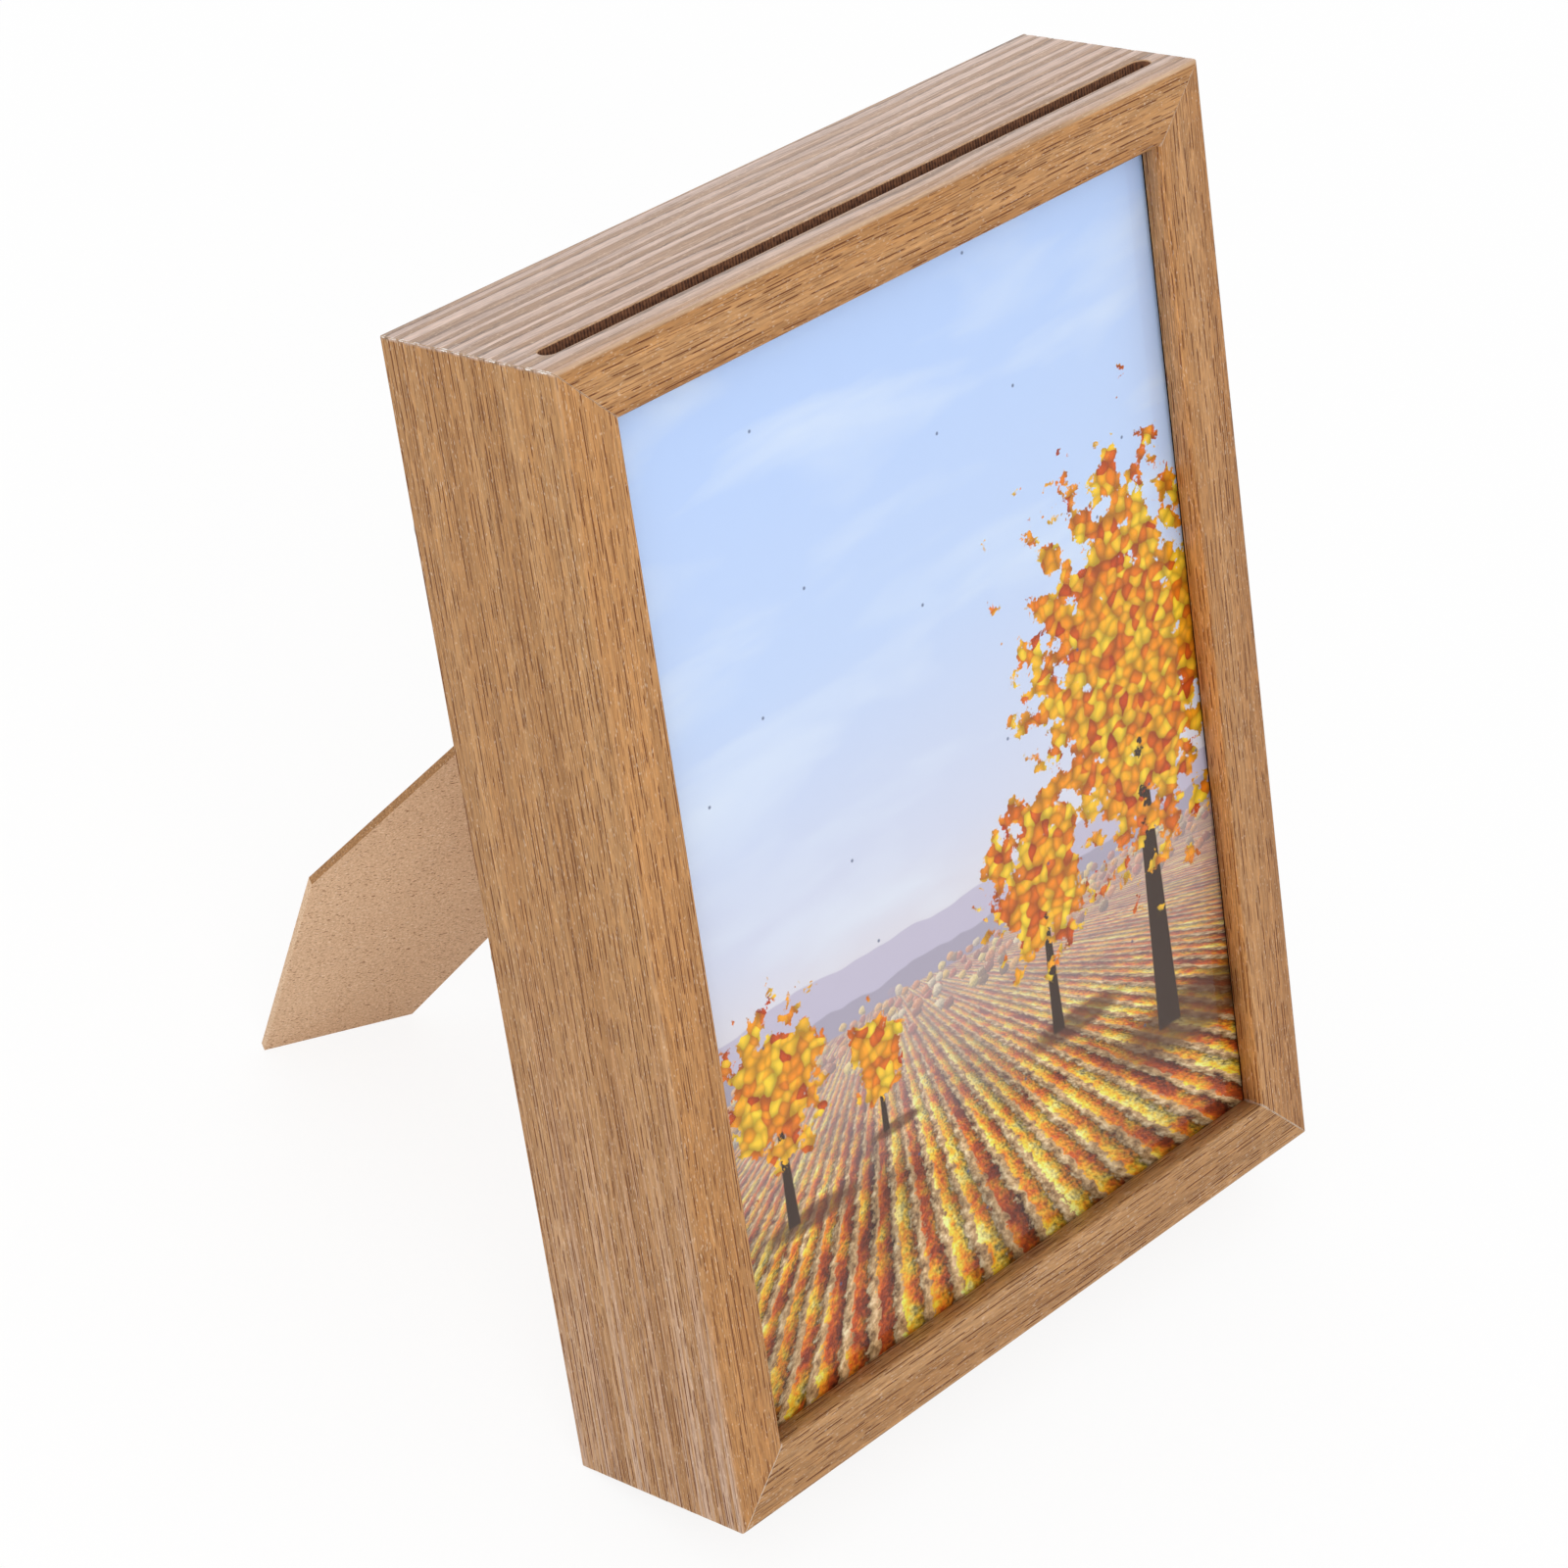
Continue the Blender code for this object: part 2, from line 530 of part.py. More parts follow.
chamber_face = BOARD_FRONT - FACE_GAP - AXIS_DEPTH
tail_end = chamber_face - RIVET_TAIL_HEIGHT
board_tail = [(RIVET_RADIUS, chamber_face), (RIVET_HEAD_RADIUS, chamber_face),
              (RIVET_HEAD_RADIUS, tail_end), (0.0, tail_end)]
strut_tail = [(RIVET_RADIUS, STRUT_INNER_FACE), (0.0, STRUT_INNER_FACE)]
for hand, shift in (("left", -RIVET_SPACING / 2), ("right", RIVET_SPACING / 2)):
    rivet(f"board_rivet_{hand}", board_side, (shift, -BOARD_RIVET_SETBACK), board_leaf_high, board_tail,
          (board_leaf, back_board))
    rivet(f"strut_rivet_{hand}", strut_side, (shift, STRUT_RIVET_SETBACK), strut_leaf_high, strut_tail,
          (strut_leaf, strut))

for piece in (board_leaf, strut_leaf):
    shade_round(piece)


def lean_onto(foot):
    # The angle at which the rounded rear edge and a foot point touch the floor together
    rise = foot.z - REAR_EDGE_RADIUS
    reach = foot.y - (DEPTH - REAR_EDGE_RADIUS)
    return math.atan2(rise, reach) + math.asin(REAR_EDGE_RADIUS / math.hypot(rise, reach))


def stand_on_floor():
    # Lean the box back onto the foot, then put its footprint's centre at the origin
    feet = [strut_hinge @ Vector((*point, STRUT_INNER_FACE)) for point in (tip, foot_corner)]
    lean = Matrix.Rotation(-min(lean_onto(foot) for foot in feet), 4, "X")
    box.matrix_local = lean
    bpy.context.view_layer.update()
    solids = [item for item in bpy.data.objects if item.type == "MESH" and not item.hide_render]
    points = [item.matrix_world @ vert.co for item in solids for vert in item.data.vertices]
    lows = Vector(min(point[axis] for point in points) for axis in range(3))
    highs = Vector(max(point[axis] for point in points) for axis in range(3))
    middle = (lows + highs) / 2
    box.matrix_local = Matrix.Translation((-middle.x, -middle.y, -lows.z)) @ lean
    bpy.context.view_layer.update()


stand_on_floor()
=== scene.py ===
import json
import math

import bmesh
import bpy
from mathutils import Matrix, Vector

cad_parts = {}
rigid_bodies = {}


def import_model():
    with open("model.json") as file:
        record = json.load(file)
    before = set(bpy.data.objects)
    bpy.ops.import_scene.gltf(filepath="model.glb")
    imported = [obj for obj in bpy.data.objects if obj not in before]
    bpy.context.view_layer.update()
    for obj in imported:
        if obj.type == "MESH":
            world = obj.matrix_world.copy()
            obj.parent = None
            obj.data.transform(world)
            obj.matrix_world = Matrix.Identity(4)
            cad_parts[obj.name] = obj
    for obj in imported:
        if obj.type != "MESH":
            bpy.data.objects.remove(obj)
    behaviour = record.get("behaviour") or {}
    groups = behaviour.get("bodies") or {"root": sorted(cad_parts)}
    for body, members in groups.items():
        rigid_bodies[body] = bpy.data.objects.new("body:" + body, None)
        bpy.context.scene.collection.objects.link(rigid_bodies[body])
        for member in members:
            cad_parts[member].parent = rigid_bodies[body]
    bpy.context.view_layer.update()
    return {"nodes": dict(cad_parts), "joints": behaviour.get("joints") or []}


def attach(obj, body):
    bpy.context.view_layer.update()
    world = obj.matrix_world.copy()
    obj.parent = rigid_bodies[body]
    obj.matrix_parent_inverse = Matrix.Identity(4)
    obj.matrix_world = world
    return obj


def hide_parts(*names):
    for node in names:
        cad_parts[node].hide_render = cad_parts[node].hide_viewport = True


for item in list(bpy.data.objects):
    bpy.data.objects.remove(item, do_unlink=True)

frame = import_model()
nodes = frame["nodes"]
mm = 0.001
print("frame loaded:", len(nodes), "nodes")

# The box leans back on its strut, so pieces are modelled in the box's own axes:
# x to the right, y to the back, z up, from its lower left front corner
buttonAxis = next(j["axis"] for j in frame["joints"] if j["name"] == "turn_button_3_pivot")
backWay = Vector(buttonAxis).normalized()
boxTurn = Matrix((Vector((1, 0, 0)), backWay, Vector((1, 0, 0)).cross(backWay))).transposed()
lean = math.atan2(-backWay.z, backWay.y)
railNodes = ("left_stile", "right_stile", "bottom_rail", "top_rail_front", "top_rail_rear")


def limitsAlong(turn, *names):
    points = [turn @ v.co for name in names for v in nodes[name].data.vertices]
    low = Vector(min(p[i] for p in points) for i in range(3))
    high = Vector(max(p[i] for p in points) for i in range(3))
    return low, high


boxLow, boxHigh = limitsAlong(boxTurn.transposed(), *railNodes)
width, depth, height = boxHigh - boxLow
worldFromBox = Matrix.Translation(boxTurn @ boxLow) @ boxTurn.to_4x4()
boxFromWorld = worldFromBox.inverted()
print("box", [round(v / mm, 1) for v in (width, depth, height)], "mm, lean", round(math.degrees(lean), 2))


def linear(hexColour):
    parts = [int(hexColour[i:i + 2], 16) / 255 for i in (1, 3, 5)]
    return tuple(p / 12.92 if p <= 0.04045 else ((p + 0.055) / 1.055) ** 2.4 for p in parts) + (1.0,)


def addNode(tree, kind, feeds=None, stops=None, **settings):
    node = tree.nodes.new("ShaderNode" + kind)
    for key, value in settings.items():
        setattr(node, key, value)
    if stops:
        marks = node.color_ramp.elements
        marks[0].position, marks[1].position = stops[0][0], stops[-1][0]
        for place, _ in stops[1:-1]:
            marks.new(place)
        for mark, (_, colour) in zip(marks, stops):
            mark.color = linear(colour)
    for socket, value in (feeds or {}).items():
        if isinstance(value, bpy.types.Node):
            value = next(out for out in value.outputs if out.enabled)
        if isinstance(value, bpy.types.NodeSocket):
            tree.links.new(value, node.inputs[socket])
        else:
            node.inputs[socket].default_value = value
    return node


def emptyTree(owner):
    owner.use_nodes = True
    owner.node_tree.nodes.clear()
    return owner.node_tree


def startMaterial(name, **values):
    material = bpy.data.materials.new(name)
    tree = emptyTree(material)
    shader = addNode(tree, "BsdfPrincipled", values)
    addNode(tree, "OutputMaterial", {"Surface": shader})
    return material, tree, shader


def boxPlace(tree):
    # Millimetres in the box's own axes, so that patterns lean with the box
    spot = addNode(tree, "TexCoord").outputs["Object"]
    return addNode(tree, "Mapping", {"Vector": spot, "Scale": (1000, 1000, 1000), "Rotation": (lean, 0, 0),
                                     "Location": tuple(-boxLow / mm)})


def insetFrom(tree, axes, sizes):
    # Distance in from the nearer edge, along each axis that is given with its size
    insets = []
    for axis, size in sizes:
        off = addNode(tree, "Math", {0: axes.outputs[axis], 1: size / 2}, operation="SUBTRACT")
        off = addNode(tree, "Math", {0: off}, operation="ABSOLUTE")
        insets.append(addNode(tree, "Math", {0: size / 2, 1: off}, operation="SUBTRACT"))
    return insets


def seenShare(tree):
    # One for what the camera sees, straight, mirrored or through the glazing; nought for light on its way
    paths = addNode(tree, "LightPath")
    share = paths.outputs["Is Camera Ray"]
    for ray in ("Is Glossy Ray", "Is Transmission Ray"):
        share = addNode(tree, "Math", {0: share, 1: paths.outputs[ray]}, operation="MAXIMUM")
    return share


# Mitred rails of one moulding: a thin wall with a lip that holds the glazing
railSize = {"wall": 10.5 * mm, "lipDeep": 4.9 * mm, "lipOver": 2.25 * mm, "joint": 0.03 * mm,
            "jointEase": 0.06 * mm, "frontRound": 0.8 * mm, "sightRound": 0.6 * mm, "rearRound": 0.6 * mm,
            "roundSteps": 5}
slotSize = {"wide": 3.9 * mm, "leftEnd": 5.6 * mm, "rightEnd": 4.1 * mm, "front": 7.05 * mm, "endSteps": 10,
            "ease": 0.22 * mm, "easeSteps": 2, "cutPast": 2.0 * mm}
pocketSize = {"clear": 0.15 * mm, "cutPast": 1.0 * mm}

# Oak-grain foil wrapped round fibreboard: printed tan streaks, fine embossed dark pores, satin lacquer
oakLook = {
    # Noises along the grain: width, length, detail
    "tone": (5.0, 420.0, 2.0), "line": (0.9, 150.0, 2.0), "felt": (0.3, 4.0, 1.0), "crowd": (5.0, 60.0, 1.0),
    "glintSpeck": (0.28, 0.9, 0.0), "wanderWide": 35.0, "wanderLong": 60.0, "seedStep": (37.0, 11.0, 91.0),
    # Two sets of pores: spacing, width and length of a dash, where its noise starts to show, strength
    "pores": ((1.3, 0.27, 9.0, 0.49, 1.0), (0.55, 0.2, 6.0, 0.48, 0.55)),
    # Rings on the top: their spacing, and how far each noise bends them
    "ringGap": 4.0, "ringBends": (("crowd", 4.5), ("line", 1.3), ("felt", 1.0)),
    "ringLine": "#4E372A", "ringTan": "#9D7D62", "ringLilac": "#C9B2A8",
    # Where the top's painted sheen, the side's painted sheen low down and the front edges' wear and painted
    # highlight begin and are full: millimetres from the front, up from the bottom and down from the top
    "topSheenFrom": 1.5, "topSheenFull": 5.5, "lowSheenFrom": 120.0, "lowSheenFull": 10.0, "rubbedHighlightFrom": 45.0, "rubbedHighlightFull": 5.0,
    "wrapTurn": 5.0,
    "dark": "#A77641", "mid": "#B2824E", "light": "#BC8E5C", "poreColour": "#6A3706", "glintSpeckColour": "#E2CAB2",
    "topSheenLow": "#8A6D5F", "topSheenMid": "#AF917E", "topSheenHigh": "#D2BBAB", "lowSheen": "#B9A69D", "seam": "#EADCCB",
    "chip": "#EFE8E2", "rubbedHighlight": "#DDBE9A",
}


def oakFoil(name, upright, seed, sway, tint, revealPaintedLight, frontPaintedLight=(1.0, 1.0, 1.0)):
    look = oakLook
    material, tree, shader = startMaterial(name, **{"IOR": 1.45})
    place = boxPlace(tree)
    boxWide, boxTall = width / mm, height / mm
    axes = addNode(tree, "SeparateXYZ", {0: place})
    across, back, up = axes.outputs
    side, along = (across, up) if upright else (up, across)
    grain = addNode(tree, "CombineXYZ", {0: side, 1: back, 2: along})
    grain = addNode(tree, "Mapping", {0: grain, "Location": tuple(seed * step for step in look["seedStep"])})
    wide, long = look["wanderWide"], look["wanderLong"]
    slow = addNode(tree, "Mapping", {0: grain, "Scale": (1 / wide, 1 / wide, 1 / long)})
    wander = addNode(tree, "TexNoise", {"Vector": slow, "Scale": 1.0, "Detail": 1.0}).outputs[1]
    wander = addNode(tree, "VectorMath", {0: wander, 1: (sway, sway, 0.0)}, operation="MULTIPLY")
    grain = addNode(tree, "VectorMath", {0: grain, 1: wander}, operation="ADD")
    run = addNode(tree, "SeparateXYZ", {0: grain})
    made = {}
    for part in ("tone", "line", "felt", "crowd", "glintSpeck"):
        wide, long, detail = look[part]
        scaled = addNode(tree, "Mapping", {0: grain, "Scale": (1 / wide, 1 / wide, 1 / long)})
        made[part] = addNode(tree, "TexNoise", {"Vector": scaled, "Scale": 1.0, "Detail": detail})
    tone = addNode(tree, "ValToRGB", {0: made["tone"]},
                   [(0.32, look["dark"]), (0.5, look["mid"]), (0.68, look["light"])])
    # On the top of the box the foil is painted paler and greyer than on the sides, fading in from the front edge:
    # painted sheen, for the light the top reflects at a low angle. Its grain there is even rings that wave along it:
    # a thin dark line, a tan band, a lilac one
    bent = run.outputs[1]
    for part, bend in look["ringBends"]:
        bent = addNode(tree, "Math", {0: made[part], 1: bend, 2: bent}, operation="MULTIPLY_ADD")
    ring = addNode(tree, "Math", {0: bent, 1: 1 / look["ringGap"]}, operation="MULTIPLY")
    ring = addNode(tree, "Math", {0: ring}, operation="FRACT")
    ring = addNode(tree, "ValToRGB", {0: ring},
                   [(0.0, look["ringLine"]), (0.1, look["ringTan"]), (0.42, look["ringTan"]),
                    (0.58, look["ringLilac"]), (0.93, look["ringLilac"]), (1.0, look["ringLine"])])
    pale = addNode(tree, "ValToRGB", {0: made["line"]},
                   [(0.28, look["topSheenLow"]), (0.5, look["topSheenMid"]), (0.72, look["topSheenHigh"])])
    ringShare = addNode(tree, "MapRange", {0: made["crowd"], 1: 0.35, 2: 0.65, 3: 0.95, 4: 0.6})
    pale = addNode(tree, "Mix", {0: ringShare, 6: pale, 7: ring}, data_type="RGBA")
    top = addNode(tree, "MapRange", {0: up, 1: boxTall - 0.8, 2: boxTall - 0.3})
    topSheenShare = addNode(tree, "MapRange", {0: back, 1: look["topSheenFrom"], 2: look["topSheenFull"], 3: 0.48, 4: 0.94})
    topSheenShare = addNode(tree, "Math", {0: top, 1: topSheenShare}, operation="MULTIPLY")
    colour = addNode(tree, "Mix", {0: topSheenShare, 6: tone, 7: pale}, data_type="RGBA")
    # Painted sheen: pale lilac streaks low on the left side, standing for the floor's reflection
    low = addNode(tree, "MapRange", {0: up, 1: look["lowSheenFrom"], 2: look["lowSheenFull"]})
    outer = addNode(tree, "MapRange", {0: across, 1: 0.9, 2: 0.3})
    lowSheen = addNode(tree, "MapRange", {0: made["line"], 1: 0.44, 2: 0.62, 3: 0.04, 4: 0.52})
    lowSheen = addNode(tree, "Math", {0: lowSheen, 1: low}, operation="MULTIPLY")
    lowSheen = addNode(tree, "Math", {0: lowSheen, 1: outer}, operation="MULTIPLY")
    colour = addNode(tree, "Mix", {0: lowSheen, 6: colour, 7: linear(look["lowSheen"])}, data_type="RGBA")
    lines = addNode(tree, "MapRange", {0: made["line"], 1: 0.3, 2: 0.7, 3: 0.86, 4: 1.14})
    colour = addNode(tree, "VectorMath", {0: colour, 3: lines}, operation="SCALE")
    felt = addNode(tree, "MapRange", {0: made["felt"], 1: 0.25, 2: 0.75, 3: 0.8, 4: 1.2})
    colour = addNode(tree, "VectorMath", {0: colour, 3: felt}, operation="SCALE")
    # Distances in from the outer faces; the foil runs on round the edges, so its rows are counted along the wrap
    folded = insetFrom(tree, axes, ((0, boxWide), (2, boxTall)))
    inward = folded[0 if upright else 1]
    turn = addNode(tree, "MapRange", {0: inward, 1: look["wrapTurn"], 2: look["wrapTurn"] + 0.01, 3: -1.0, 4: 1.0})
    wrap = addNode(tree, "Math", {0: back, 1: turn, 2: inward}, operation="MULTIPLY_ADD")
    drift = addNode(tree, "SeparateXYZ", {0: wander})
    wrap = addNode(tree, "Math", {0: wrap, 1: drift.outputs[0]}, operation="ADD")
    # Pores are dashes strung along thin lines, each line at its own place in its row and broken in its own way
    crowd = addNode(tree, "MapRange", {0: made["crowd"], 1: 0.3, 2: 0.7, 3: -0.05, 4: 0.05})
    pore = 0.0
    for gap, wide, long, start, strength in look["pores"]:
        row = addNode(tree, "Math", {0: wrap, 1: 1 / gap}, operation="MULTIPLY")
        number = addNode(tree, "Math", {0: row}, operation="FLOOR")
        chance = addNode(tree, "TexWhiteNoise", {"W": number}, noise_dimensions="1D")
        middle = addNode(tree, "MapRange", {0: chance, 3: 0.2, 4: 0.8})
        off = addNode(tree, "Math", {0: row}, operation="FRACT")
        off = addNode(tree, "Math", {0: off, 1: middle}, operation="SUBTRACT")
        off = addNode(tree, "Math", {0: off}, operation="ABSOLUTE")
        thin = addNode(tree, "MapRange", {0: off, 1: wide / gap * 0.65, 2: wide / gap * 0.3})
        spot = addNode(tree, "CombineXYZ", {0: number, 1: run.outputs[2]})
        spot = addNode(tree, "Mapping", {0: spot, "Scale": (3.7, 1 / long, 1.0)})
        dash = addNode(tree, "TexNoise", {"Vector": spot, "Scale": 1.0, "Detail": 1.0}, noise_dimensions="2D")
        dash = addNode(tree, "Math", {0: dash, 1: crowd}, operation="ADD")
        dash = addNode(tree, "MapRange", {0: dash, 1: start, 2: start + 0.07, 3: 0.0, 4: strength})
        mark = addNode(tree, "Math", {0: thin, 1: dash}, operation="MULTIPLY")
        pore = addNode(tree, "Math", {0: mark, 1: pore}, operation="MAXIMUM")
    # Painted sheen: on the top the pores fade, as the reflection would hide them
    topSheenPoreFade = addNode(tree, "MapRange", {0: top, 3: 1.0, 4: 0.12})
    pore = addNode(tree, "Math", {0: pore, 1: topSheenPoreFade}, operation="MULTIPLY")
    colour = addNode(tree, "Mix", {0: pore, 6: colour, 7: linear(look["poreColour"])}, data_type="RGBA")
    # Painted highlights: pale specks where the embossed grain would catch the light
    glintSpeck = addNode(tree, "MapRange", {0: made["glintSpeck"], 1: 0.68, 2: 0.80, 3: 0.0, 4: 0.42})
    colour = addNode(tree, "Mix", {0: glintSpeck, 6: colour, 7: linear(look["glintSpeckColour"])}, data_type="RGBA")
    # At the mitres and corner edges the cut foil shows its pale core
    mitre = addNode(tree, "Math", {0: folded[0], 1: folded[1]}, operation="SUBTRACT")
    mitre = addNode(tree, "Math", {0: mitre}, operation="ABSOLUTE")
    broken = addNode(tree, "TexNoise", {"Vector": place, "Scale": 0.4, "Detail": 2.0})
    seamWide = addNode(tree, "MapRange", {0: broken, 1: 0.35, 2: 0.65, 3: 0.10, 4: 0.34})
    sight = (railSize["wall"] + railSize["lipOver"]) / mm
    nick = addNode(tree, "MapRange", {0: inward, 1: sight - 1.6, 2: sight - 0.4, 3: 1.0, 4: 1.9})
    seamWide = addNode(tree, "Math", {0: seamWide, 1: nick}, operation="MULTIPLY")
    # Painted light on the reveal inside the opening: above one it lightens the shaded reveal, below one it darkens
    # it
    inside = addNode(tree, "MapRange", {0: inward, 1: sight - 0.15, 2: sight - 0.03, 3: 1.0, 4: revealPaintedLight})
    colour = addNode(tree, "VectorMath", {0: colour, 3: inside}, operation="SCALE")
    # Each rail's tint also paints shade: the right and bottom rails are darker, away from the light
    colour = addNode(tree, "VectorMath", {0: colour, 1: linear(tint)[:3]}, operation="MULTIPLY")
    # Painted light: where given, the front face is made lighter and warmer than the side
    facing = addNode(tree, "MapRange", {0: back, 1: 0.7, 2: 0.4})
    frontLightScale = addNode(tree, "Mix", {0: facing, 6: (1.0, 1.0, 1.0, 1.0), 7: (*frontPaintedLight, 1.0)}, data_type="RGBA")
    colour = addNode(tree, "VectorMath", {0: colour, 1: frontLightScale}, operation="MULTIPLY")
    # The long front edges are painted paler, most of all near the top: partly rubbed wear, partly a painted
    # highlight on the rounded edge
    edge = addNode(tree, "Math", {0: inward, 1: back}, operation="MAXIMUM")
    edge = addNode(tree, "MapRange", {0: edge, 1: 0.75, 2: 0.25})
    patchy = addNode(tree, "MapRange", {0: made["crowd"], 1: 0.35, 2: 0.65, 3: 0.05, 4: 0.3})
    edge = addNode(tree, "Math", {0: edge, 1: patchy}, operation="MULTIPLY")
    rubbedHighlightHeight = addNode(tree, "MapRange", {0: up, 1: boxTall - look["rubbedHighlightFrom"], 2: boxTall - look["rubbedHighlightFull"],
                                      3: 1.0, 4: 2.4})
    edge = addNode(tree, "Math", {0: edge, 1: rubbedHighlightHeight}, operation="MULTIPLY")
    colour = addNode(tree, "Mix", {0: edge, 6: colour, 7: linear(look["rubbedHighlight"])}, data_type="RGBA")
    # The lower mitres stand open a little more than the upper ones
    gape = addNode(tree, "MapRange", {0: up, 1: boxTall * 0.4, 2: boxTall * 0.6, 3: 0.6, 4: 0.3})
    seam = addNode(tree, "MapRange", {0: mitre, 1: seamWide, 2: 0.08, 3: 0.0, 4: gape})
    colour = addNode(tree, "Mix", {0: seam, 6: colour, 7: linear(look["seam"])}, data_type="RGBA")
    nibble = addNode(tree, "TexNoise", {"Vector": place, "Scale": 0.8, "Detail": 5.0, "Roughness": 0.65})
    chipWide = addNode(tree, "MapRange", {0: nibble, 1: 0.46, 2: 0.75, 3: 0.10, 4: 0.70})
    knocked = addNode(tree, "MapRange", {0: up, 1: boxTall - 3.0, 2: boxTall - 2.0, 3: 0.35, 4: 1.0})
    chipWide = addNode(tree, "Math", {0: chipWide, 1: knocked}, operation="MULTIPLY")
    corner = addNode(tree, "Math", {0: folded[0], 1: folded[1]}, operation="MAXIMUM")
    corner = addNode(tree, "Math", {0: chipWide, 1: corner}, operation="SUBTRACT")
    chip = addNode(tree, "MapRange", {0: corner, 1: 0.0, 2: 0.08, 3: 0.0, 4: 0.9})
    colour = addNode(tree, "Mix", {0: chip, 6: colour, 7: linear(look["chip"])}, data_type="RGBA")
    tree.links.new(colour.outputs[2], shader.inputs["Base Color"])
    rough = addNode(tree, "MapRange", {0: pore, 3: 0.46, 4: 0.66})
    tree.links.new(rough.outputs[0], shader.inputs["Roughness"])
    lift = addNode(tree, "Math", {0: made["felt"], 1: pore}, operation="SUBTRACT")
    bump = addNode(tree, "Bump", {"Height": lift, "Strength": 0.8, "Distance": 0.07 * mm})
    tree.links.new(bump.outputs[0], shader.inputs["Normal"])
    return material


# Raw fibreboard: matt pinkish tan felt of fine fibres, with short dark and pale flecks lying every way
boardLook = {"fibre": 0.45, "mottle": 20, "fleckWide": 0.36, "fleckLong": 1.9, "paleFleck": "#EBD2B8",
             "darkTurns": ((0.3, 0.2, 0.5), (1.1, 0.7, -0.6), (-0.8, 1.3, 1.2)),
             "paleTurns": ((0.2, -0.9, 0.3), (0.9, 0.4, 1.9))}


def fibreboard(name, light, dark, fleckColour, fleckAmount):
    look = boardLook
    material, tree, shader = startMaterial(name, **{"Roughness": 0.85, "IOR": 1.4})
    place = boxPlace(tree)
    grit = addNode(tree, "TexNoise", {"Vector": place, "Scale": 1 / look["fibre"], "Detail": 2.0, "Roughness": 0.6})
    mottle = addNode(tree, "TexNoise", {"Vector": place, "Scale": 1 / look["mottle"], "Detail": 2.0})
    blend = addNode(tree, "Math", {0: grit, 1: 0.88}, operation="MULTIPLY")
    blend = addNode(tree, "Math", {0: mottle, 1: 0.12, 2: blend}, operation="MULTIPLY_ADD")
    colour = addNode(tree, "ValToRGB", {0: blend}, [(0.36, dark), (0.64, light)])
    wide, long = 1 / look["fleckWide"], 1 / look["fleckLong"]
    flecks = [(turn, fleckColour) for turn in look["darkTurns"]]
    flecks += [(turn, look["paleFleck"]) for turn in look["paleTurns"]]
    for turn, tint in flecks:
        laid = addNode(tree, "Mapping", {0: place, "Rotation": turn, "Scale": (long, wide, wide)})
        fleck = addNode(tree, "TexNoise", {"Vector": laid, "Scale": 1.0, "Detail": 0.0})
        fleck = addNode(tree, "MapRange", {0: fleck, 1: 0.745, 2: 0.80, 3: 0.0, 4: fleckAmount})
        colour = addNode(tree, "Mix", {0: fleck, 6: colour, 7: linear(tint)}, data_type="RGBA")
    tree.links.new(colour.outputs[2], shader.inputs["Base Color"])
    bump = addNode(tree, "Bump", {"Height": grit, "Strength": 0.5, "Distance": 0.05 * mm})
    tree.links.new(bump.outputs[0], shader.inputs["Normal"])
    return material


# Routed slot walls: fibreboard with the cutter's chatter across it, painted dark brown as painted shade inside the
# slot
slotLook = {"ribPitch": 0.75, "groove": "#4A2A1C", "ridge": "#9A6848"}


def routedWall(name):
    material, tree, shader = startMaterial(name, **{"Roughness": 0.8, "IOR": 1.45})
    place = boxPlace(tree)
    axes = addNode(tree, "SeparateXYZ", {0: place})
    beat = addNode(tree, "Math", {0: axes.outputs[0], 1: math.tau / slotLook["ribPitch"]}, operation="MULTIPLY")
    rib = addNode(tree, "Math", {0: beat}, operation="SINE")
    grit = addNode(tree, "TexNoise", {"Vector": place, "Scale": 1.2, "Detail": 2.0})
    share = addNode(tree, "Math", {0: rib, 1: 0.17, 2: grit}, operation="MULTIPLY_ADD")
    colour = addNode(tree, "ValToRGB", {0: share}, [(0.25, slotLook["groove"]), (0.80, slotLook["ridge"])])
    tree.links.new(colour.outputs[0], shader.inputs["Base Color"])
    bump = addNode(tree, "Bump", {"Height": rib, "Strength": 0.5, "Distance": 0.1 * mm})
    tree.links.new(bump.outputs[0], shader.inputs["Normal"])
    return material


# Zinc-plated pressed steel: cool grey metal with faint rolling lines and a cloudy plating
steelLook = {"bright": "#C4C6C6", "dull": "#9A9C9A", "lineWide": 0.35, "lineLong": 9, "cloud": 5}


def zincSteel(name):
    look = steelLook
    material, tree, shader = startMaterial(name, **{"Metallic": 1.0})
    place = boxPlace(tree)
    wide, long = 1 / look["lineWide"], 1 / look["lineLong"]
    laid = addNode(tree, "Mapping", {0: place, "Scale": (long, wide, wide)})
    lines = addNode(tree, "TexNoise", {"Vector": laid, "Scale": 1.0, "Detail": 2.0})
    cloud = addNode(tree, "TexNoise", {"Vector": place, "Scale": 1 / look["cloud"], "Detail": 3.0})
    blend = addNode(tree, "Math", {0: lines, 1: cloud}, operation="ADD")
    blend = addNode(tree, "Math", {0: blend, 1: 0.5}, operation="MULTIPLY")
    colour = addNode(tree, "ValToRGB", {0: blend}, [(0.35, look["dull"]), (0.65, look["bright"])])
    tree.links.new(colour.outputs[0], shader.inputs["Base Color"])
    rough = addNode(tree, "MapRange", {0: cloud, 1: 0.3, 2: 0.7, 3: 0.26, 4: 0.42})
    tree.links.new(rough.outputs[0], shader.inputs["Roughness"])
    bump = addNode(tree, "Bump", {"Height": lines, "Strength": 0.25, "Distance": 0.02 * mm})
    tree.links.new(bump.outputs[0], shader.inputs["Normal"])
    return material


